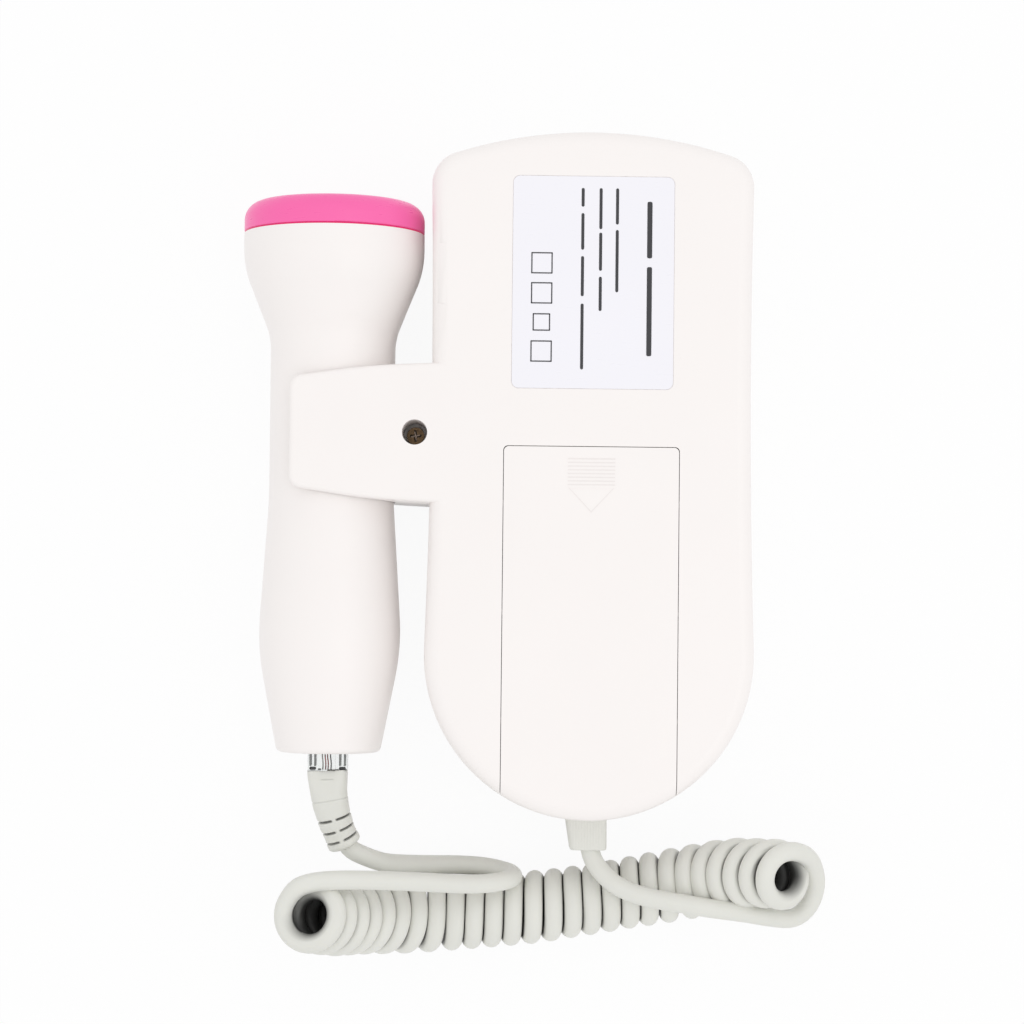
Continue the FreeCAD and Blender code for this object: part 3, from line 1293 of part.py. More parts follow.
COIL_AXIS = (
    (62.0, -83.6, 19.2), (58.6, -83.7, 14.6), (53.2, -84.1, 10.6), (44.8, -85.6, 8.2),
    (33.6, -88.1, 8.1), (22.0, -90.1, 8.0), (10.6, -91.4, 8.1), (-1.0, -92.5, 8.0),
    (-12.0, -93.4, 8.0), (-19.5, -93.6, 8.2), (-25.0, -93.1, 11.8), (-29.3, -92.5, 17.6),
    (-32.6, -92.0, 23.8), (-35.2, -91.5, 28.4), (-36.8, -91.1, 31.6))


def rounded_route(points):
    """Straight runs joined by arcs, each as large as its two runs allow."""
    spots = [Vector(*point) for point in points]
    edges = []
    radii = []
    start = spots[0]
    for i in range(1, len(spots) - 1):
        back = spots[i - 1] - spots[i]
        ahead = spots[i + 1] - spots[i]
        setback = 0.45 * min(back.Length, ahead.Length)
        back.normalize()
        ahead.normalize()
        half_turn = (math.pi - back.getAngle(ahead)) / 2
        radii.append(setback / math.tan(half_turn))
        entry, leave = spots[i] + back * setback, spots[i] + ahead * setback
        centre = spots[i] + (back + ahead).normalize() * (setback / math.sin(half_turn))
        middle = centre + (spots[i] - centre).normalize() * radii[-1]
        edges.append(Part.LineSegment(start, entry).toShape())
        edges.append(Part.Arc(entry, middle, leave).toShape())
        start = leave
    edges.append(Part.LineSegment(start, spots[-1]).toShape())
    return Part.Wire(edges), radii


def make_tube(label, points, radius):
    """A round tube along a route, checked against its section times its length."""
    path, radii = rounded_route(points)
    first = Vector(*points[1]) - Vector(*points[0])
    ring = Part.Wire([Part.Circle(Vector(*points[0]), first, radius).toShape()])
    solid = path.makePipeShell([ring], True, True)
    expected = math.pi * radius ** 2 * path.Length
    print(f"{label}: length {path.Length:.1f}, radii", " ".join(f"{r:.1f}" for r in radii),
          f"volume ratio {solid.Volume / expected:.4f}")
    thing = doc.addObject("Part::Feature", label)
    thing.Label = label
    thing.Shape = solid
    return thing


# ---------------------------------------------------------------- the whole

node(make_rear_shell())
node(make_front_shell())
node(make_battery_door())
node(make_rating_label())
node(make_front_panel())
node(window_block("lcd_window", 0.0, S.panel_recess - S.panel_sheet, S.panel_recess))
node(box("lcd_module", (case_x - S.window_width / 2, window_middle - S.window_height / 2,
                        S.front_wall),
         (case_x + S.window_width / 2, window_middle + S.window_height / 2,
          S.front_wall + S.lcd_sheet)))
node(box("lcd_backlight", (case_x - S.window_width / 2 + 1.0,
                           window_middle - S.window_height / 2 + 1.0, S.front_wall + S.lcd_sheet),
         (case_x + S.window_width / 2 - 1.0, window_middle + S.window_height / 2 - 1.0,
          S.board_height)))
node(make_board())
node(make_board_components())
node(make_tact_switches())
for button_label, (button_x, button_radius) in zip(
        ("volume_down_button", "power_button", "volume_up_button"), button_spots()):
    node(make_button(button_label, button_x, button_radius))
for piece in make_speaker():
    node(piece)
node(make_headphone_jack())
node(make_cell("battery_cell_left", -1, True))
node(make_cell("battery_cell_right", 1, False))
spring_pieces, plate_pieces, bridge_piece = make_battery_contacts()
node(group("battery_springs", spring_pieces))
node(group("battery_plates", plate_pieces))
node(bridge_piece)
node(screw("holder_screw", (*holder_screw_spot, S.holder_screw_floor), S.holder_screw_length))
node(group("case_screws", [screw(f"case_screw_{i}", (x, y, S.case_screw_floor), S.case_screw_length)
                           for i, (x, y) in enumerate(case_screw_spots)]))
node(group("board_screws", [screw(f"board_screw_{i}", (x, y, S.board_height + S.board_sheet),
                                  S.board_screw_length)
                            for i, (x, y) in enumerate(board_screw_spots())]))
node(make_strain_relief())
node(make_probe_half("probe_rear_half", True))
node(make_probe_half("probe_front_half", False))
node(make_head_cap())
for piece in make_transducer():
    node(piece)
node(box("probe_board", (probe_x - S.probe_board_half, probe_y(S.probe_board_start),
                         probe_height - S.socket_height / 2 - S.probe_board_sheet),
         (probe_x + S.probe_board_half, probe_y(S.probe_board_end),
          probe_height - S.socket_height / 2)))
node(make_probe_jack())
for piece in make_plug():
    node(piece)
node(make_plug_boot())
node(make_tube("cord_lead_monitor", LEAD_MONITOR, S.cord_radius.value))
node(make_tube("cord_lead_probe", LEAD_PROBE, S.cord_radius.value))
node(make_tube("cord_coil", COIL_AXIS, S.coil_radius.value))
doc.recompute()

for thing in doc.Objects:
    if "Invalid" in thing.State or "Error" in thing.State:
        raise RuntimeError(f"{thing.Name} failed: {thing.State}")
for thing in NODES:
    if thing.Shape.isNull() or not thing.Shape.isValid() or not thing.Shape.Solids:
        raise RuntimeError(f"{thing.Label} has no valid solid")

os.makedirs("parts", exist_ok=True)
for thing in NODES:
    thing.Shape.exportStep(f"parts/{thing.Label}.step")
print(len(NODES), "nodes")
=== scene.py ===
import math
import bpy
from mathutils import Matrix, Vector
from mathutils.kdtree import KDTree


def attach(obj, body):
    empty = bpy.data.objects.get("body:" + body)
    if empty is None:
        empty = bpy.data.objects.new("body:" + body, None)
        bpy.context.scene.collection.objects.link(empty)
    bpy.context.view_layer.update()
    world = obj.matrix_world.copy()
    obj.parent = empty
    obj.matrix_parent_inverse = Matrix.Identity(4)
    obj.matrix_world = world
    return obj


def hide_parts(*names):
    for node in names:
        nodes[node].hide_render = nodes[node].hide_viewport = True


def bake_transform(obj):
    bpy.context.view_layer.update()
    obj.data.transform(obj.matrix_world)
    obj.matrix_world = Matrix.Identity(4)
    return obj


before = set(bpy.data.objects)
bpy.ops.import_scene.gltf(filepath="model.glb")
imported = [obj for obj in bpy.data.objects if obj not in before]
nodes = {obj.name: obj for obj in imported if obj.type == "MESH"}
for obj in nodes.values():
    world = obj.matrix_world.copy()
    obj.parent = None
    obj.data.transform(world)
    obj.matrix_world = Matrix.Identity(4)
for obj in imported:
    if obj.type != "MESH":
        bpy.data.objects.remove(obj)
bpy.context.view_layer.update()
scene = bpy.context.scene
scene.view_settings.view_transform = "Standard"
MM = 0.001

# ---------------------------------------------------------------- camera
# The photograph looks almost straight down at the object's back. The lens is in millimetres, and
# places are in metres.

camera_data = bpy.data.cameras.new("camera")
camera_data.sensor_width = 36.0
camera_data.lens = 94.36
camera_data.clip_start = 0.01
camera_data.clip_end = 20.0
camera = bpy.data.objects.new("camera", camera_data)
scene.collection.objects.link(camera)
scene.camera = camera
EYE = Vector((-0.00723, -0.0259, 0.585))
LOOK_AT = Vector((0.00327, -0.00785, 0.035))
ROLL = math.radians(0.6)
ahead = (LOOK_AT - EYE).normalized()
picture_up = Vector((-math.sin(ROLL), math.cos(ROLL), 0.0))
picture_right = ahead.cross(picture_up).normalized()
picture_up = picture_right.cross(ahead).normalized()
facing = Matrix((picture_right, picture_up, -ahead)).transposed()
camera.matrix_world = Matrix.Translation(EYE) @ facing.to_4x4()

# ---------------------------------------------------------------- mesh tools


def in_metres(points):
    """Vectors in metres from places in millimetres."""
    return [Vector(p) * MM for p in points]


def add_mesh(name, verts, faces, smooth=True):
    """A new object in the scene with this mesh."""
    mesh = bpy.data.meshes.new(name)
    mesh.from_pydata([tuple(v) for v in verts], [], faces)
    mesh.validate()
    mesh.update()
    if smooth:
        mesh.polygons.foreach_set("use_smooth", [True] * len(mesh.polygons))
    piece = bpy.data.objects.new(name, mesh)
    scene.collection.objects.link(piece)
    return piece


def spline_points(points, steps):
    """Points read from the smooth line of a NURBS spline with these control points."""
    curve = bpy.data.curves.new("route", "CURVE")
    curve.dimensions = "3D"
    curve.resolution_u = steps
    spline = curve.splines.new("NURBS")
    spline.points.add(len(points) - 1)
    for knot, place in zip(spline.points, points):
        knot.co = (*place, 1.0)
    spline.order_u = 3
    spline.use_endpoint_u = True
    holder = bpy.data.objects.new("route", curve)
    mesh = bpy.data.meshes.new_from_object(holder)
    line = [v.co.copy() for v in mesh.vertices]
    bpy.data.meshes.remove(mesh)
    bpy.data.objects.remove(holder)
    bpy.data.curves.remove(curve)
    return line


def carried_frames(line, first_side):
    """For each point of a line its direction and two crosswise directions that don't twist."""
    count = len(line)
    frames = []
    side = Vector(first_side)
    for i in range(count):
        forward = (line[min(i + 1, count - 1)] - line[max(i - 1, 0)]).normalized()
        side = (side - forward * side.dot(forward)).normalized()
        frames.append((forward, side, forward.cross(side)))
    return frames


def loft(name, rings, unshaded=None):
    """A skin over rings of as many points each, closed at both ends.

    unshaded gives for each point how free of painted shade the skin is there.
    """
    sides, count = len(rings[0]), len(rings)
    faces = []
    for i in range(count - 1):
        for j in range(sides):
            k = (j + 1) % sides
            faces.append((i * sides + j, i * sides + k, (i + 1) * sides + k, (i + 1) * sides + j))
    faces.append(tuple(range(sides))[::-1])
    faces.append(tuple((count - 1) * sides + j for j in range(sides)))
    piece = add_mesh(name, [place for ring in rings for place in ring], faces)
    if unshaded:
        layer = piece.data.attributes.new("unshaded", "FLOAT", "POINT")
        layer.data.foreach_set("value", unshaded)
    return piece


def tube(name, line, radius, sides=18, painted_shade=None):
    """A round tube of one radius along a line, closed at both ends.

    painted_shade gives, for a point's number and a direction out of the tube, how unshaded the
    skin is there: its lower values paint shade into the skin.
    """
    rings, unshaded = [], []
    angles = [2.0 * math.pi * j / sides for j in range(sides)]
    frames = carried_frames(line, (0.0, 0.3, 1.0))
    for number, (place, (_, side, up)) in enumerate(zip(line, frames)):
        outward = [math.cos(angle) * side + math.sin(angle) * up for angle in angles]
        rings.append([place + radius * way for way in outward])
        if painted_shade:
            unshaded += [painted_shade(number, way) for way in outward]
    return loft(name, rings, unshaded)


def rounded_ring(left, right, low, high, corner, steps=6):
    """Points round a rectangle with rounded corners, as (across, up) pairs."""
    points = []
    for quarter, (a, b) in enumerate(((right, high), (left, high), (left, low), (right, low))):
        a += corner if a == left else -corner
        b += corner if b == low else -corner
        for k in range(steps + 1):
            angle = math.pi / 2.0 * (quarter + k / steps)
            points.append((a + corner * math.cos(angle), b + corner * math.sin(angle)))
    return points


def plates(name, outlines, low, high):
    """Thin flat plates with the given outlines in the plan, in millimetres."""
    verts, faces = [], []
    for outline in outlines:
        first, count = len(verts), len(outline)
        for level in (low, high):
            verts += in_metres((x, y, level) for x, y in outline)
        faces.append(tuple(first + i for i in range(count))[::-1])
        faces.append(tuple(first + count + i for i in range(count)))
        for i in range(count):
            k = (i + 1) % count
            faces.append((first + i, first + k, first + count + k, first + count + i))
    return add_mesh(name, verts, faces, smooth=False)


def turned(name, profile, x, z, sides=96):
    """A closed (radius, y) profile turned about a line along Y, in millimetres."""
    verts, faces = [], []
    count = len(profile)
    for i in range(sides):
        angle = 2.0 * math.pi * i / sides
        c, s = math.cos(angle), math.sin(angle)
        verts += in_metres((x + radius * c, y, z + radius * s) for radius, y in profile)
        here, following = i * count, (i + 1) % sides * count
        for j in range(count):
            k = (j + 1) % count
            faces.append((here + j, following + j, following + k, here + k))
    return add_mesh(name, verts, faces)


# ---------------------------------------------------------------- curly cord

CORD_RADIUS = 2.0 * MM
TURN_STEP = 4.12 * MM  # from one turn to the next, where the coil is straight
STEPS_PER_TURN = 16
BEND_REACH = 6  # points of the axis to either side, over which its bend is measured
TOUCHING_AT = 0.84  # the share of their radius, to the inside of a bend, at which turns touch
# Where round the axis the coil begins and ends, in turns.
FIRST_TURN, LAST_TURN = 0.2, 0.1
# Millimetres from the axis to the cord's centre line, by the number of the turn from the coil's
# right end.
TURN_RADII = (
    (0.0, 5.25), (0.3, 5.25), (0.62, 5.5), (0.9, 5.5), (1.4, 5.35), (2.0, 5.5), (3.5, 5.9),
    (6.0, 5.95), (9.0, 5.68), (11.5, 5.7), (13.0, 5.88), (21.5, 5.92), (23.5, 6.0), (25.0, 5.65))
# Degrees by which the first turns lean back over the coil.
TURN_LEANS = ((0.0, 22.0), (1.0, 20.0), (7.0, 0.0))

# Control points in millimetres, all in the cord's order, from the main unit to the probe.
LEAD_MONITOR = (
    (20.5, -76.6, 17.0), (20.9, -79.6, 17.1), (23.0, -82.9, 18.0), (26.6, -86.0, 19.2),
    (32.2, -88.0, 19.6), (39.4, -89.2, 19.2), (46.4, -90.4, 18.4), (53.4, -91.3, 17.2),
    (59.6, -92.6, 14.8), (64.6, -93.2, 12.9), (68.0, -90.2, 13.2), (69.1, -85.4, 15.2),
    (67.9, -81.2, 18.6), (66.3, -79.0, 21.2))
LEAD_PROBE = (
    (-40.2, -85.4, 30.6), (-36.9, -84.2, 31.2), (-32.6, -83.8, 31.0), (-27.4, -83.9, 29.4),
    (-20.0, -84.3, 26.2), (-11.8, -85.0, 22.8), (-4.4, -85.5, 20.6), (1.0, -85.3, 19.2),
    (4.4, -84.7, 16.2), (4.9, -84.4, 11.6), (3.4, -84.0, 7.2), (-0.8, -83.3, 4.7),
    (-6.2, -82.95, 4.4), (-12.0, -82.8, 6.4), (-17.6, -82.4, 10.3), (-22.8, -81.8, 14.6),
    (-27.3, -79.9, 17.1), (-30.1, -78.5, 17.3), (-31.3, -76.2, 17.7))
COIL_AXIS = (
    (62.6, -82.9, 23.8), (59.6, -82.7, 21.0), (56.0, -83.0, 17.3), (52.6, -83.5, 14.3),
    (48.8, -84.3, 11.6), (44.4, -85.4, 9.5), (39.0, -86.6, 8.1), (33.6, -87.6, 7.8),
    (22.0, -89.7, 7.8), (10.6, -91.4, 8.1), (0.4, -92.4, 8.0), (-7.1, -93.0, 8.0),
    (-12.2, -93.4, 8.3), (-17.7, -93.6, 9.7), (-22.9, -93.4, 12.4), (-27.4, -93.0, 16.2),
    (-30.8, -92.7, 20.4), (-33.8, -92.3, 24.4), (-36.4, -91.7, 28.4), (-37.9, -91.1, 31.7))


def rise(value, start, end):
    """How far a value is on its way from start to end, from 0 to 1."""
    return min(max((value - start) / (end - start), 0.0), 1.0)


def between(table, at):
    """The value that a table of (place, value) rows gives at a place, with smooth steps."""
    for (first, low), (last, high) in zip(table, table[1:]):
        if at <= last:
            share = rise(at, first, last)
            return low + (high - low) * (3.0 * share ** 2 - 2.0 * share ** 3)
    return table[-1][1]


def helix_around(axis, first_turn, last_turn):
    """Points of a left-handed helix round an axis line.

    Its turns touch on the inside of each bend, so they are further apart on the axis there.
    """
    frames = carried_frames(axis, (0.0, 1.0, 0.0))
    count = len(axis)
    gone, bends, reached = [0.0], [], [0.0]
    for a, b in zip(axis, axis[1:]):
        gone.append(gone[-1] + (b - a).length)
    for i in range(count):
        a, b = max(i - BEND_REACH, 0), min(i + BEND_REACH, count - 1)
        bends.append(frames[a][0].angle(frames[b][0]) / (gone[b] - gone[a]))
    for i in range(1, count):
        radius = between(TURN_RADII, reached[-1]) * MM
        bend = (bends[i] + bends[i - 1]) / 2.0
        step = TURN_STEP / (1.0 - TOUCHING_AT * bend * radius)
        reached.append(reached[-1] + (gone[i] - gone[i - 1]) / step)
    # The whole number of turns that is nearest, and the part of a turn between the two ends.
    part = last_turn - first_turn
    wanted = round(reached[-1] - part) + part
    stretch = wanted / reached[-1]
    steps = int(wanted * STEPS_PER_TURN)
    points = []
    at = 0
    for k in range(steps + 1):
        turns = k * wanted / steps
        goal = turns / stretch
        while at < count - 2 and reached[at + 1] < goal:
            at += 1
        place = axis[at].lerp(axis[at + 1], rise(goal, reached[at], reached[at + 1]))
        forward, side, up = frames[at]
        angle = 2.0 * math.pi * (first_turn + turns)
        radius = between(TURN_RADII, goal) * MM
        lean = math.radians(between(TURN_LEANS, goal))
        leaning = math.cos(lean) * up - math.sin(lean) * forward
        points.append(place + radius * (math.sin(angle) * side + math.cos(angle) * leaning))
    return points


axis_line = spline_points(in_metres(COIL_AXIS), 24)
coil_points = helix_around(axis_line, FIRST_TURN, LAST_TURN)
coil_turns = len(coil_points) / STEPS_PER_TURN
cord_points = in_metres(LEAD_MONITOR) + coil_points + in_metres(LEAD_PROBE)
cord_line = spline_points(cord_points, 4)

axis_frames = carried_frames(axis_line, (0.0, 1.0, 0.0))
axis_tree = KDTree(len(axis_line))
for i, place in enumerate(axis_line):
    axis_tree.insert(place, i)
axis_tree.balance()


def cord_painted_shade(number, outward):
    """How unshaded the cord is: shade is painted inside the coil and in the grooves between its
    turns.
    """
    knot = number * (len(cord_points) - 1) / (len(cord_line) - 1)
    before = (knot - len(LEAD_MONITOR)) / STEPS_PER_TURN
    after = coil_turns - before
    if before <= 0.0 or after <= 0.0:
        return 1.0
    _, nearest, _ = axis_tree.find(cord_line[number])
    forward = axis_frames[nearest][0]
    radial = cord_line[number] - axis_line[nearest]
    radial = (radial - forward * radial.dot(forward)).normalized()
    out = outward.dot(radial)
    # A turn has a neighbour behind it except at the first, and ahead of it except at the last.
    # Below, before and after are in turns, and out is 1 away from the coil's axis, -1 towards it.
    beside = after if outward.dot(forward) > 0.0 else before
    # Shade is painted into the groove on each side of a turn that faces a neighbour.
    groove = 1.0 - rise(beside, 0.7, 1.2) * (1.0 - rise(out, 0.1, 0.4))
    # The shade painted inside the coil fades out at its two open ends.
    deep = min(rise(before, 0.25, 0.75), rise(after, 0.08, 0.48))
    inside = 1.0 - deep * (1.0 - rise(out, -0.95, -0.1))
    return min(groove, inside)


# ---------------------------------------------------------------- plug boot and strain relief

BOOT_LINE = (
    (-34.6, -61.9, 19.2), (-34.5, -64.6, 19.2), (-34.1, -68.0, 19.15), (-33.3, -71.4, 18.8),
    (-32.1, -74.9, 18.1), (-30.6, -78.1, 17.3))
# Along the boot, in millimetres: half width, half height and squareness of its section.
BOOT_WIDTHS = ((0.0, 4.2), (6.2, 3.8), (10.1, 3.6), (14.9, 3.35), (17.2, 3.15))
BOOT_HEIGHTS = ((0.0, 3.7), (6.2, 3.6), (10.1, 3.55), (14.9, 3.35), (17.2, 3.15))
BOOT_SQUARE = ((0.0, 5.0), (6.2, 2.7), (10.1, 2.2), (14.9, 2.05), (17.2, 2.0))
# Places along the boot and half widths of what stands there, in millimetres. The slots are
# GROOVE_DEEP deep, and the seam and the dash have a share of that.
# GROOVE_SHADE and GROOVE_SPREAD set the shade painted into these grooves.
GROOVE_DEEP, GROOVE_SHADE, GROOVE_SPREAD = 0.95, 0.72, 1.4
DASH_AT, DASH_HALF, DASH_DEPTH, DASH_REACH = 1.8, 0.1, 0.18, 1.4
SEAM_AT, SEAM_HALF, SEAM_DEPTH = 6.2, 0.1, 0.14
SLOTS_AT, SLOT_HALF = (10.1, 12.5, 14.7), 0.2
NECK_AT, NECK_HALF, NECK_DEPTH = 15.1, 0.4, 0.1
COLLAR_AT, COLLAR_HALF, COLLAR_HEIGHT = 16.1, 1.5, 0.3
BRIDGE_HALF, BRIDGE_SIDE = 0.5, 0.2  # the bridge that each slot leaves in the boot's middle
END_ROUNDING, END_RADIUS, END_LEAST = 0.9, 0.95, 0.05
BOOT_SIDES = 72
BOOT_STEP = 0.11

RELIEF_ROOT_Y, RELIEF_Z = -68.35, 17.0
RELIEF_LEFT, RELIEF_RIGHT, RELIEF_HALF, RELIEF_CORNER = 15.5, 24.15, 3.45, 1.2
# It narrows by these amounts beyond the start of its taper.
TAPER_START, TAPER_LENGTH = 3.4, 6.6
TAPER_LEFT, TAPER_RIGHT, TAPER_HALF = 1.0, 0.05, 0.25
# Its root is wider by these amounts, and fills the hole in the shell.
FLARE_START, FLARE_END = 2.7, 3.7
FLARE_LEFT, FLARE_RIGHT = 0.2, 0.35
# Rings of the strain relief: distance from its root, and how far its rounded end draws it in.
RELIEF_RINGS = (
    (0.0, 0.0), (2.7, 0.0), (3.7, 0.0), (9.4, 0.0), (9.75, 0.08), (9.92, 0.25), (9.95, 0.5))


def dip(distance, half_width):
    """A groove's depth, 1 in its middle, falling to 0 from 0.55 to 1.45 half widths off it."""
    return min(max(1.6 - abs(distance) / half_width * 1.1, 0.0), 1.0)


def boot_ring(s, whole):
    """The boot's section at s mm along it: (across, up) pairs, and how unshaded each point is."""
    wide, tall = between(BOOT_WIDTHS, s), between(BOOT_HEIGHTS, s)
    square = between(BOOT_SQUARE, s)
    bulge = (COLLAR_HEIGHT * dip(s - COLLAR_AT, COLLAR_HALF)
             - NECK_DEPTH * dip(s - NECK_AT, NECK_HALF))
    past = max(s - whole + END_ROUNDING, 0.0)
    closing = math.sqrt(max(1.0 - past ** 2 / END_RADIUS ** 2, END_LEAST))
    slots = max(dip(s - slot, SLOT_HALF) for slot in SLOTS_AT)
    seam = SEAM_DEPTH * dip(s - SEAM_AT, SEAM_HALF)
    dash = DASH_DEPTH * dip(s - DASH_AT, DASH_HALF)
    ring, unshaded = [], []
    for j in range(BOOT_SIDES):
        angle = 2.0 * math.pi * j / BOOT_SIDES
        c, d = math.cos(angle), math.sin(angle)
        reach = (abs(c) ** square + abs(d) ** square) ** (-1.0 / square)
        bridge = rise(abs(c) * wide, BRIDGE_HALF, BRIDGE_HALF + BRIDGE_SIDE)
        groove = max(slots * bridge, seam)
        if d > 0.0 and abs(c) * reach * wide < DASH_REACH:
            groove = max(groove, dash)
        near = 1.0 - GROOVE_DEEP * groove / reach / min(wide, tall)
        size = reach * near * closing
        ring.append(((wide + bulge) * c * size, (tall + bulge) * d * size))
        # Shade is painted into the slots, the seam and the dash.
        unshaded.append(1.0 - GROOVE_SHADE * min(groove * GROOVE_SPREAD, 1.0))
    return ring, unshaded


def make_boot():
    """The ribbed boot: square at the plug, round at the cord, with bridged slots to bend at."""
    line = spline_points(in_metres(BOOT_LINE), 60)
    gone = [0.0]
    for a, b in zip(line, line[1:]):
        gone.append(gone[-1] + (b - a).length / MM)
    whole = gone[-1]
    frames = carried_frames(line, (0.0, 0.0, 1.0))
    rings, unshaded = [], []
    steps = int(whole / BOOT_STEP)
    for k in range(steps + 1):
        s = whole * k / steps
        at = max(i for i, g in enumerate(gone) if g <= s + 1e-6)
        place, (_, up, side) = line[at], frames[at]
        if at < len(line) - 1:
            place = place.lerp(line[at + 1], (s - gone[at]) / (gone[at + 1] - gone[at]))
        ring, ring_unshaded = boot_ring(s, whole)
        rings.append([place + (side * across + up * above) * MM for across, above in ring])
        unshaded += ring_unshaded
    return loft("boot", rings, unshaded)


def make_relief():
    """The strain relief: slanted on its left side, rounded where the cord leaves it."""
    rings = []
    for reach, drawn_in in RELIEF_RINGS:
        taper = max(reach - TAPER_START, 0.0) / TAPER_LENGTH
        flare = 1.0 - rise(reach, FLARE_START, FLARE_END)
        left = RELIEF_LEFT + TAPER_LEFT * taper - FLARE_LEFT * flare + drawn_in
        right = RELIEF_RIGHT + TAPER_RIGHT * taper + FLARE_RIGHT * flare - drawn_in
        half = RELIEF_HALF - TAPER_HALF * taper - drawn_in
        ring = rounded_ring(left, right, RELIEF_Z - half, RELIEF_Z + half, RELIEF_CORNER)
        rings.append(in_metres((x, RELIEF_ROOT_Y - reach, z) for x, z in ring))
    return loft("relief", rings)


boot = make_boot()
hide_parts("plug_boot")
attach(boot, "probe")
relief = make_relief()
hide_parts("cord_strain_relief")
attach(relief, "monitor")

cord = tube("cord", cord_line, CORD_RADIUS, painted_shade=cord_painted_shade)
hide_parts("cord_lead_monitor", "cord_coil", "cord_lead_probe")
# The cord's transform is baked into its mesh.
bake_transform(cord)

# ---------------------------------------------------------------- materials


class Nodes:
    """A material's node tree, with short calls for adding and joining nodes."""

    def __init__(self, name):
        self.material = bpy.data.materials.new(name)
        self.material.use_nodes = True
        self.tree = self.material.node_tree
        self.shader = self.tree.nodes["Principled BSDF"]
        self.place = self.add("ShaderNodeTexCoord").outputs["Object"]

    def add(self, kind, **settings):
        """A new node with these properties."""
        node = self.tree.nodes.new(kind)
        for key, value in settings.items():
            setattr(node, key, value)
        return node

    def join(self, source, target):
        self.tree.links.new(source, target)

    def set(self, **values):
        """Sets the shader's own sockets, named with underscores for spaces."""
        for key, value in values.items():
            self.shader.inputs[key.replace("_", " ")].default_value = value

    def noise(self, scale, detail=3.0, roughness=0.55, stretch=None):
        """Noise from 0 to 1, with about this many patches to a metre."""
        node = self.add("ShaderNodeTexNoise")
        node.inputs["Scale"].default_value = scale
        node.inputs["Detail"].default_value = detail
        node.inputs["Roughness"].default_value = roughness
        if stretch is None:
            self.join(self.place, node.inputs["Vector"])
        else:
            mapping = self.add("ShaderNodeMapping")
            mapping.inputs["Scale"].default_value = stretch
            self.join(self.place, mapping.inputs["Vector"])
            self.join(mapping.outputs["Vector"], node.inputs["Vector"])
        return node.outputs["Fac"]

    def bricks(self, scale, mortar_size, *colours):
        """Rows of bricks in two colours, with mortar in a third."""
        node = self.add("ShaderNodeTexBrick")
        node.inputs["Scale"].default_value = scale
        node.inputs["Mortar Size"].default_value = mortar_size
        for key, colour in zip(("Color1", "Color2", "Mortar"), colours):
            node.inputs[key].default_value = (*colour, 1.0)
        self.join(self.place, node.inputs["Vector"])
        return node

    def spread(self, source, low, high, start=0.3, end=0.7):
        """A source's values from start to end, spread from low to high."""
        node = self.add("ShaderNodeMapRange")
        node.inputs["From Min"].default_value = start
        node.inputs["From Max"].default_value = end
        node.inputs["To Min"].default_value = low
        node.inputs["To Max"].default_value = high
        self.join(source, node.inputs["Value"])
        return node.outputs["Result"]

    def mixed(self, share, first, second):
        """Two colours mixed by a share, each a plain colour or another node's output."""
        node = self.add("ShaderNodeMix", data_type="RGBA")
        for key, value in (("A", first), ("B", second)):
            socket = [s for s in node.inputs if s.name == key and s.type == "RGBA"][0]
            if isinstance(value, tuple):
                socket.default_value = (*value, 1.0)
            else:
                self.join(value, socket)
        self.join(share, node.inputs[0])
        return [s for s in node.outputs if s.type == "RGBA"][0]

    def bumps(self, source, height, strength, under=None):
        """A bump of this height in metres, over another one where under is given."""
        node = self.add("ShaderNodeBump")
        node.inputs["Strength"].default_value = strength
        node.inputs["Distance"].default_value = height
        self.join(source, node.inputs["Height"])
        if under is not None:
            self.join(under, node.inputs["Normal"])
        return node.outputs["Normal"]

    def colour(self, source):
        self.join(source, self.shader.inputs["Base Color"])

    def roughness(self, source):
        self.join(source, self.shader.inputs["Roughness"])

    def normal(self, source):
        self.join(source, self.shader.inputs["Normal"])


WHITE = (0.955, 0.915, 0.898)
PINK = (1.0, 0.142, 0.44)
GREY = (0.785, 0.785, 0.735)


def shaded(colour, share):
    """A colour at this share of its brightness."""
    return tuple(c * share for c in colour)


def moulded(name, colour, rough, grain=0.012 * MM, patch=0.03, scatter=0.0):
    """Moulded plastic: slight tone patches, fine spark-eroded grain and faint handling marks."""
    n = Nodes(name)
    slow = n.noise(38.0, 4.0)
    fine = n.noise(5200.0, 2.0)
    marks = n.noise(260.0, 6.0, 0.7, (1.0, 6.0, 1.0))
    n.colour(n.mixed(n.spread(slow, 0.0, 1.0), shaded(colour, 1.0 - patch), colour))
    n.roughness(n.spread(marks, rough - 0.05, rough + 0.07))
    n.normal(n.bumps(fine, grain, 0.55))
    n.set(IOR=1.5)
    if scatter:
        n.set(Subsurface_Weight=scatter, Subsurface_Radius=(1.0, 0.8, 0.7),
              Subsurface_Scale=0.6 * MM)
    return n.material


def metal(name, colour, rough, drawn, patch=0.15):
    """Plated or bare metal with drawn or turned lines."""
    n = Nodes(name)
    lines = n.noise(900.0, 4.0, 0.6, drawn)
    slow = n.noise(120.0, 3.0)
    n.colour(n.mixed(n.spread(slow, 0.0, 1.0), shaded(colour, 1.0 - patch), colour))
    n.roughness(n.spread(lines, rough - 0.08, rough + 0.12))
    n.normal(n.bumps(lines, 0.01 * MM, 0.5))
    n.set(Metallic=1.0)
    return n.material


def clear(name, tint, rough):
    """Clear moulded plastic with faint flow lines."""
    n = Nodes(name)
    flow = n.noise(180.0, 3.0, 0.5, (1.0, 0.25, 1.0))
    n.colour(n.mixed(n.spread(flow, 0.0, 1.0), shaded(tint, 0.96), tint))
    n.roughness(n.spread(flow, rough, rough + 0.05))
    n.normal(n.bumps(flow, 0.02 * MM, 0.35))
    n.set(Transmission_Weight=1.0, IOR=1.49)
    return n.material


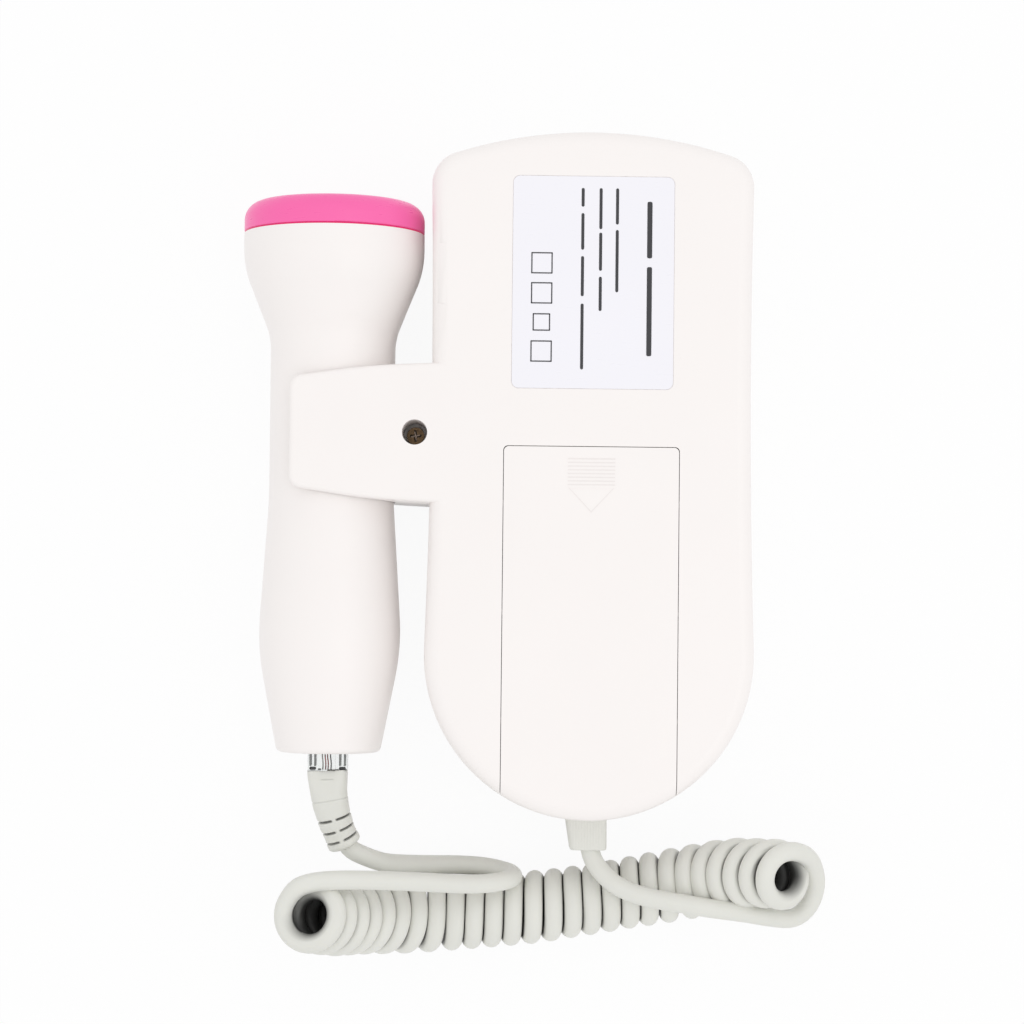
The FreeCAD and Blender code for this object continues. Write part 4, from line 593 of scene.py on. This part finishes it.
def board_green():
    """Solder mask, lighter in the lines where copper tracks lie under it."""
    n = Nodes("board_green")
    tracks = n.bricks(210.0, 0.035, (0.012, 0.105, 0.045), (0.016, 0.135, 0.055),
                      (0.05, 0.24, 0.09))
    slow = n.noise(90.0, 3.0)
    n.colour(n.mixed(n.spread(slow, 0.0, 0.5), (0.012, 0.11, 0.05), tracks.outputs["Color"]))
    n.roughness(n.spread(slow, 0.25, 0.4))
    n.normal(n.bumps(tracks.outputs["Fac"], 0.03 * MM, 0.6))
    n.set(Coat_Weight=0.4)
    return n.material


def display_glass():
    """A reflective liquid-crystal display: grey green with faint electrode lines."""
    n = Nodes("display_glass")
    rows = n.bricks(900.0, 0.05, (0.30, 0.34, 0.27), (0.31, 0.35, 0.28), (0.26, 0.30, 0.24))
    slow = n.noise(60.0, 2.0)
    n.colour(n.mixed(n.spread(slow, 0.0, 0.4), rows.outputs["Color"], (0.33, 0.37, 0.30)))
    n.roughness(n.spread(slow, 0.12, 0.2))
    n.normal(n.bumps(rows.outputs["Fac"], 0.005 * MM, 0.3))
    return n.material


BANDS_MEET = -30.0 * MM


def cell_wrap():
    """Printed shrink jacket of a dry cell: two plain bands, no words."""
    n = Nodes("cell_wrap")
    along = n.add("ShaderNodeSeparateXYZ")
    n.join(n.place, along.inputs["Vector"])
    band = n.spread(along.outputs["Y"], 0.0, 1.0, BANDS_MEET, BANDS_MEET + 0.4 * MM)
    slow = n.noise(70.0, 3.0)
    n.colour(n.mixed(band, (0.035, 0.037, 0.042), (0.50, 0.26, 0.055)))
    n.roughness(n.spread(slow, 0.22, 0.34))
    n.normal(n.bumps(slow, 0.03 * MM, 0.5))
    n.set(Coat_Weight=0.6)
    return n.material


def cord_skin():
    """Soft matt jacket, slightly uneven, with shade painted into it where its mesh's unshaded
    value is low.
    """
    n = Nodes("cord_skin")
    slow = n.noise(55.0, 4.0)
    fine = n.noise(2600.0, 3.0)
    unshaded = n.add("ShaderNodeAttribute", attribute_name="unshaded").outputs["Fac"]
    cord_tone = n.mixed(n.spread(slow, 0.0, 1.0), shaded(GREY, 0.955), GREY)
    # A near-black colour paints shade where the mesh's unshaded value is low.
    n.colour(n.mixed(unshaded, shaded(GREY, 0.05), cord_tone))
    n.roughness(n.spread(fine, 0.42, 0.55))
    n.normal(n.bumps(fine, 0.015 * MM, 0.5, n.bumps(slow, 0.08 * MM, 0.5)))
    n.set(Subsurface_Weight=0.12, Subsurface_Radius=(1.0, 0.95, 0.8), Subsurface_Scale=0.8 * MM)
    return n.material


def ribbed_grey():
    """Soft grey plastic with the fine upright ridges of its mould."""
    n = Nodes("ribbed_grey")
    slow = n.noise(55.0, 4.0)
    ridges = n.add("ShaderNodeTexWave", wave_type="BANDS", bands_direction="X")
    ridges.inputs["Scale"].default_value = 520.0
    n.join(n.place, ridges.inputs["Vector"])
    n.colour(n.mixed(n.spread(slow, 0.0, 1.0), shaded(GREY, 0.95), GREY))
    n.roughness(n.spread(slow, 0.42, 0.52))
    n.normal(n.bumps(ridges.outputs["Fac"], 0.06 * MM, 0.6))
    return n.material


def paper_cone():
    """Dark pressed paper with its fibres."""
    n = Nodes("paper_cone")
    fibres = n.noise(1400.0, 6.0, 0.75)
    slow = n.noise(160.0, 3.0)
    n.colour(n.mixed(n.spread(fibres, 0.0, 1.0), (0.018, 0.018, 0.020), (0.045, 0.043, 0.042)))
    n.roughness(n.spread(slow, 0.75, 0.9))
    n.normal(n.bumps(fibres, 0.06 * MM, 0.8))
    return n.material


def fired_crystal():
    """Silvered piezoelectric ceramic with a grainy fired face."""
    n = Nodes("fired_crystal")
    grain = n.noise(2200.0, 4.0, 0.7)
    slow = n.noise(200.0, 3.0)
    n.colour(n.mixed(n.spread(grain, 0.0, 1.0), (0.52, 0.50, 0.45), (0.70, 0.68, 0.62)))
    n.roughness(n.spread(slow, 0.35, 0.5))
    n.normal(n.bumps(grain, 0.02 * MM, 0.7))
    n.set(Metallic=0.6)
    return n.material


shell_white = moulded("shell_plastic", WHITE, 0.36, patch=0.012)
door_white = moulded("door_plastic", WHITE, 0.37, patch=0.012)
trim_pink = moulded("pink_plastic", PINK, 0.3, grain=0.006 * MM, patch=0.04)
button_white = moulded("button_white", shaded(WHITE, 0.98), 0.34, grain=0.006 * MM, patch=0.03)
label_film = moulded("label_film", (0.915, 0.905, 0.955), 0.3, grain=0.004 * MM, patch=0.01)
dark_plastic = moulded("dark_plastic", (0.022, 0.022, 0.024), 0.45, patch=0.25)
light_guide = moulded("light_guide", (0.80, 0.86, 0.78), 0.25, patch=0.05, scatter=0.3)
skin = cord_skin()
label_ink = moulded("label_ink", (0.035, 0.035, 0.040), 0.4, grain=0.003 * MM, patch=0.1)
mark_pink = moulded("mark_pink", (0.83, 0.04, 0.25), 0.35, grain=0.004 * MM, patch=0.02)
# Darker pink that paints the shade in the gap under the head cap's rim.
rim_shade_pink = moulded("rim_shade_pink", (0.86, 0.008, 0.16), 0.35, grain=0.004 * MM, patch=0.05)
# Near-black plastic that paints the shade inside a screw's recess.
recess_shade = moulded("recess_painted_shade", (0.020, 0.014, 0.010), 0.6, grain=0.02 * MM, patch=0.3)
wire_dark = moulded("wire_dark", (0.03, 0.03, 0.03), 0.4, grain=0.004 * MM, patch=0.1)
# Lighter metal that paints light on the floor of the screw's cross.
cross_floor = metal("cross_floor", (0.42, 0.33, 0.27), 0.4, (5.0, 5.0, 1.0), 0.4)
wire_pale = moulded("wire_pale", (0.75, 0.72, 0.68), 0.4, grain=0.004 * MM, patch=0.1)
smoky = moulded("smoky_plastic", (0.50, 0.51, 0.50), 0.3, grain=0.004 * MM, patch=0.3)
faint = moulded("groove_shade", (0.905, 0.865, 0.85), 0.5, grain=0.004 * MM, patch=0.05)
wire_red = moulded("wire_red", (0.50, 0.05, 0.04), 0.4, grain=0.004 * MM, patch=0.1)
epoxy = moulded("loaded_epoxy", (0.045, 0.043, 0.040), 0.6, grain=0.03 * MM, patch=0.3)
window_clear = clear("window_clear", (0.97, 0.98, 0.98), 0.02)
plug_clear = clear("plug_clear", (0.88, 0.90, 0.89), 0.09)
frame_metal = metal("speaker_metal", (0.55, 0.55, 0.56), 0.38, (1.0, 1.0, 6.0))
plated = metal("plated_steel", (0.72, 0.71, 0.68), 0.26, (1.0, 7.0, 1.0))
bronze = metal("screw_bronze", (0.21, 0.14, 0.08), 0.34, (5.0, 5.0, 1.0), 0.5)
gold = metal("contact_gold", (0.93, 0.66, 0.26), 0.22, (1.0, 8.0, 1.0))

FINISHES = {
    "rear_shell": shell_white, "front_shell": shell_white, "battery_door": door_white,
    "probe_rear_half": shell_white, "probe_front_half": shell_white,
    "probe_head_cap": trim_pink, "front_panel": trim_pink,
    "power_button": button_white, "volume_up_button": button_white,
    "volume_down_button": button_white,
    "rating_label": label_film, "lcd_window": window_clear, "lcd_module": display_glass(),
    "lcd_backlight": light_guide, "main_board": board_green(), "probe_board": board_green(),
    "board_components": dark_plastic, "tact_switches": plated,
    "speaker_basket": frame_metal, "speaker_cone": paper_cone(),
    "headphone_jack": dark_plastic, "probe_jack": dark_plastic,
    "battery_cell_left": cell_wrap(), "battery_cell_right": cell_wrap(),
    "battery_springs": plated, "battery_plates": plated, "battery_bridge": plated,
    "holder_screw": bronze, "case_screws": bronze, "board_screws": plated,
    "transducer_crystals": fired_crystal(), "crystal_backing": epoxy,
    "rj_plug": plug_clear, "plug_contacts": gold,
}


def paint(piece, material):
    """Gives a new piece or every slot of a carried-over node this material."""
    if not piece.material_slots:
        piece.data.materials.append(material)
    for slot in piece.material_slots:
        slot.material = material


for node_name, finish in FINISHES.items():
    paint(nodes[node_name], finish)
paint(cord, skin)
paint(boot, skin)
paint(relief, ribbed_grey())

# ---------------------------------------------------------------- small details


def detail(piece, body, slot, material):
    """Puts a small piece on a body, with a material. Its slot is not used."""
    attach(piece, body)
    paint(piece, material)


def bar(left, low, right, high, corner):
    """Outline of an upright rectangle with rounded corners."""
    return rounded_ring(left, right, low, high, corner, 2)


def cross_outline(arm, reach, middle=(0.0, 0.0), turn=0.0):
    """Outline of a cross with arms of this half width and reach."""
    corners = [
        (reach, arm), (arm, arm), (arm, reach), (-arm, reach), (-arm, arm), (-reach, arm),
        (-reach, -arm), (-arm, -arm), (-arm, -reach), (arm, -reach), (arm, -arm), (reach, -arm)]
    c, s = math.cos(turn), math.sin(turn)
    return [(middle[0] + x * c - y * s, middle[1] + x * s + y * c) for x, y in corners]


# All places below are in millimetres.
# The label's print is left off: plain bars and squares stand in its place.
LABEL_TOP = 35.05
# Each column: middle across, width of its bars, and the bars' ends along the label.
LABEL_COLUMNS = (
    (31.05, 1.05, ((56.4, 44.7), (42.9, 24.5))),
    (24.35, 0.62, ((59.1, 51.6), (50.5, 37.6))),
    (20.95, 0.62, ((59.1, 50.6), (49.9, 42.0), (40.8, 33.7))),
    (17.25, 0.62, ((59.1, 55.2), (53.9, 46.3), (45.0, 36.7), (35.2, 21.6))))
# Each square: its middle and half its side.
LABEL_SQUARES = ((8.9, 43.5, 2.2), (8.9, 37.3, 2.2), (8.9, 31.3, 1.8), (8.9, 25.3, 2.2))
SQUARE_LINE = 0.25
label_bars = []
for middle, wide, ends in LABEL_COLUMNS:
    for high, low in ends:
        label_bars.append(bar(middle - wide / 2, low, middle + wide / 2, high, 0.3))
for x, y, half in LABEL_SQUARES:
    inner = half - SQUARE_LINE
    for left, low, right, high in ((-half, -half, -inner, half), (inner, -half, half, half),
                                   (-half, -half, half, -inner), (-half, inner, half, half)):
        label_bars.append(bar(x + left, y + low, x + right, y + high, 0.1))
detail(plates("label_marks", label_bars, LABEL_TOP - 0.02, LABEL_TOP + 0.03),
       "monitor", "dark_plastic", label_ink)

# A ring of darker pink fills the gap between the head cap and the probe, painting the shade in
# that gap.
PROBE_X, PROBE_Z = -34.5, 19.2
RIM_INSIDE, RIM_OUTSIDE, RIM_LOW, RIM_HIGH = 16.6, 18.93, 50.75, 51.09
rim_profile = ((RIM_INSIDE, RIM_LOW), (RIM_OUTSIDE, RIM_LOW),
               (RIM_OUTSIDE, RIM_HIGH), (RIM_INSIDE, RIM_HIGH))
detail(turned("cap_rim_line", rim_profile, PROBE_X, PROBE_Z), "probe", "trim_pink", rim_shade_pink)

# The holder screw's cross: a near-black plate paints the shade at its sides, and a lighter metal
# plate paints light on its floor.
SCREW, SCREW_TURN = (-16.9, 8.35), math.radians(12.0)
detail(plates("screw_cross", [cross_outline(0.34, 1.25, SCREW, SCREW_TURN)], 20.45, 21.25),
       "monitor", "screw_bronze", recess_shade)
detail(plates("screw_cross_floor", [cross_outline(0.15, 0.95, SCREW, SCREW_TURN)], 20.5, 21.27),
       "monitor", "screw_bronze", cross_floor)

# Shade painted into the door's shallow grip lines and arrow.
DOOR_TOP, MIDDLE = 5.7, 19.5
GRIP_LINES, GRIP_HALF, GRIP_FIRST, GRIP_STEP, GRIP_WIDE = 8, 4.85, 2.33, 0.76, 0.24
grip = []
for i in range(GRIP_LINES):
    high = DOOR_TOP - GRIP_FIRST - GRIP_STEP * i
    grip.append(bar(MIDDLE - GRIP_HALF, high - GRIP_WIDE, MIDDLE + GRIP_HALF, high, 0.08))
arrow = ((-4.7, -2.75), (-4.4, -2.8), (0.0, -7.45), (4.4, -2.8), (4.7, -2.75), (0.0, -7.8))
grip.append([(MIDDLE + x, y) for x, y in arrow])
detail(plates("grip_shade", grip, 34.9, 34.935), "door", "shell_white", faint)

# Thin wires, dark clamp plates and the inner walls show through the clear plug; the clamp plates
# also paint the shade at the plug's lower corners.
PLUG_WIRES = ((-35.5, 21.2, wire_pale), (-34.9, 21.6, wire_red), (-34.4, 21.3, wire_red),
              (-33.8, 21.0, wire_dark))
for number, (x, z, colour) in enumerate(PLUG_WIRES):
    route = ((x, -61.7, z - 0.8), (x + 0.15, -60.4, z), (x - 0.2, -58.6, z - 0.1),
             (x, -56.0, z - 2.0))
    wire = tube(f"plug_wire_{number}", spline_points(in_metres(route), 6), 0.13 * MM, 8)
    detail(wire, "probe", "dark_plastic", colour)
clamp_shade_sides = [bar(-38.3, -61.8, -36.9, -61.15, 0.25), bar(-36.5, -61.8, -35.8, -61.5, 0.1),
               bar(-32.1, -61.8, -30.7, -61.15, 0.25)]
detail(plates("plug_clamp_shade", clamp_shade_sides, 20.6, 21.6), "probe", "dark_plastic", dark_plastic)
WALL_SHEET = 0.4
inner_walls = [bar(x, -61.0, x + WALL_SHEET, -54.0, 0.1) for x in (-38.3, -37.3, -32.1, -31.1)]
detail(plates("plug_inner_walls", inner_walls, 17.0, 21.6), "probe", "clear_plastic", smoky)

# Raised symbols on the buttons: less, more and power.
BUTTON_Y, BUTTON_FACE = -8.0, 0.5
ARC_FIRST, ARC_SPAN, ARC_STEPS = 130.0, 280.0, 24
power_arc = []
for radius, way in ((2.7, 1), (2.05, -1)):
    for k in range(ARC_STEPS + 1)[::way]:
        angle = math.radians(ARC_FIRST + ARC_SPAN * k / ARC_STEPS)
        power_arc.append((radius * math.cos(angle), radius * math.sin(angle)))
SYMBOLS = (("volume_down", 4.0, [bar(-1.9, -0.35, 1.9, 0.35, 0.3)]),
           ("volume_up", 35.0, [cross_outline(0.4, 1.9)]),
           ("power", 19.5, [bar(-0.35, 0.7, 0.35, 3.1, 0.3), power_arc]))
for body, middle, outlines in SYMBOLS:
    placed = [[(middle + x, BUTTON_Y + y) for x, y in outline] for outline in outlines]
    detail(plates(f"{body}_mark", placed, BUTTON_FACE - 0.04, BUTTON_FACE + 0.05),
           body, "trim_pink", mark_pink)

# ---------------------------------------------------------------- floor and light


def seen_share(tree):
    """1 for a ray from the camera, in a mirror or through glass, and 0 for light on the object."""
    path = tree.nodes.new("ShaderNodeLightPath")
    share = path.outputs["Is Camera Ray"]
    for ray in ("Is Glossy Ray", "Is Transmission Ray"):
        either = tree.nodes.new("ShaderNodeMath")
        either.operation = "MAXIMUM"
        tree.links.new(share, either.inputs[0])
        tree.links.new(path.outputs[ray], either.inputs[1])
        share = either.outputs[0]
    return share


def shader(tree, kind, **values):
    """A shader node's output, with these values on its sockets."""
    node = tree.nodes.new(kind)
    for key, value in values.items():
        node.inputs[key].default_value = value
    return node.outputs[0]


def mix_seen(tree, out_kind, share, unseen, seen):
    """Ends a tree with one shader for light on the object and another for what is seen."""
    mix = tree.nodes.new("ShaderNodeMixShader")
    out = tree.nodes.new(out_kind)
    for source, target in zip((share, unseen, seen), mix.inputs):
        tree.links.new(source, target)
    tree.links.new(mix.outputs[0], out.inputs["Surface"])


PURE_WHITE = (1.0, 1.0, 1.0, 1.0)
FLOOR, FLOOR_Z = 4.0, -0.0002
# The rest of the floor's look is its own diffuse white, which keeps the object's shadow.
FLOOR_GLOW = 0.93
floor = add_mesh("floor", [(-FLOOR, -FLOOR, FLOOR_Z), (FLOOR, -FLOOR, FLOOR_Z),
                           (FLOOR, FLOOR, FLOOR_Z), (-FLOOR, FLOOR, FLOOR_Z)], [(0, 1, 2, 3)])
floor_material = bpy.data.materials.new("floor")
floor_material.use_nodes = True
tree = floor_material.node_tree
tree.nodes.clear()
glow_share = tree.nodes.new("ShaderNodeMath")
glow_share.operation = "MULTIPLY"
glow_share.inputs[1].default_value = FLOOR_GLOW
tree.links.new(seen_share(tree), glow_share.inputs[0])
mix_seen(tree, "ShaderNodeOutputMaterial", glow_share.outputs[0],
         shader(tree, "ShaderNodeBsdfDiffuse", Color=(0.9, 0.9, 0.9, 1.0)),
         shader(tree, "ShaderNodeEmission", Color=PURE_WHITE, Strength=1.0))
floor.data.materials.append(floor_material)

world = bpy.data.worlds.new("studio")
scene.world = world
world.use_nodes = True
tree = world.node_tree
tree.nodes.clear()
mix_seen(tree, "ShaderNodeOutputWorld", seen_share(tree),
         shader(tree, "ShaderNodeBackground", Color=PURE_WHITE, Strength=0.90),
         shader(tree, "ShaderNodeBackground", Color=PURE_WHITE, Strength=1.0))


def soft_box(name, place, size, power):
    """A square studio lamp at a place, facing the origin."""
    lamp = bpy.data.lights.new(name, "AREA")
    lamp.shape = "SQUARE"
    lamp.size = size
    lamp.energy = power
    holder = bpy.data.objects.new(name, lamp)
    scene.collection.objects.link(holder)
    aim = (-Vector(place)).to_track_quat("-Z", "Y").to_matrix().to_4x4()
    holder.matrix_world = Matrix.Translation(Vector(place)) @ aim


# Metres and watts.
soft_box("key_lamp", (-0.15, 0.25, 1.3), 1.5, 0.95)
soft_box("side_lamp", (0.6, -0.2, 1.15), 0.8, 1.3)
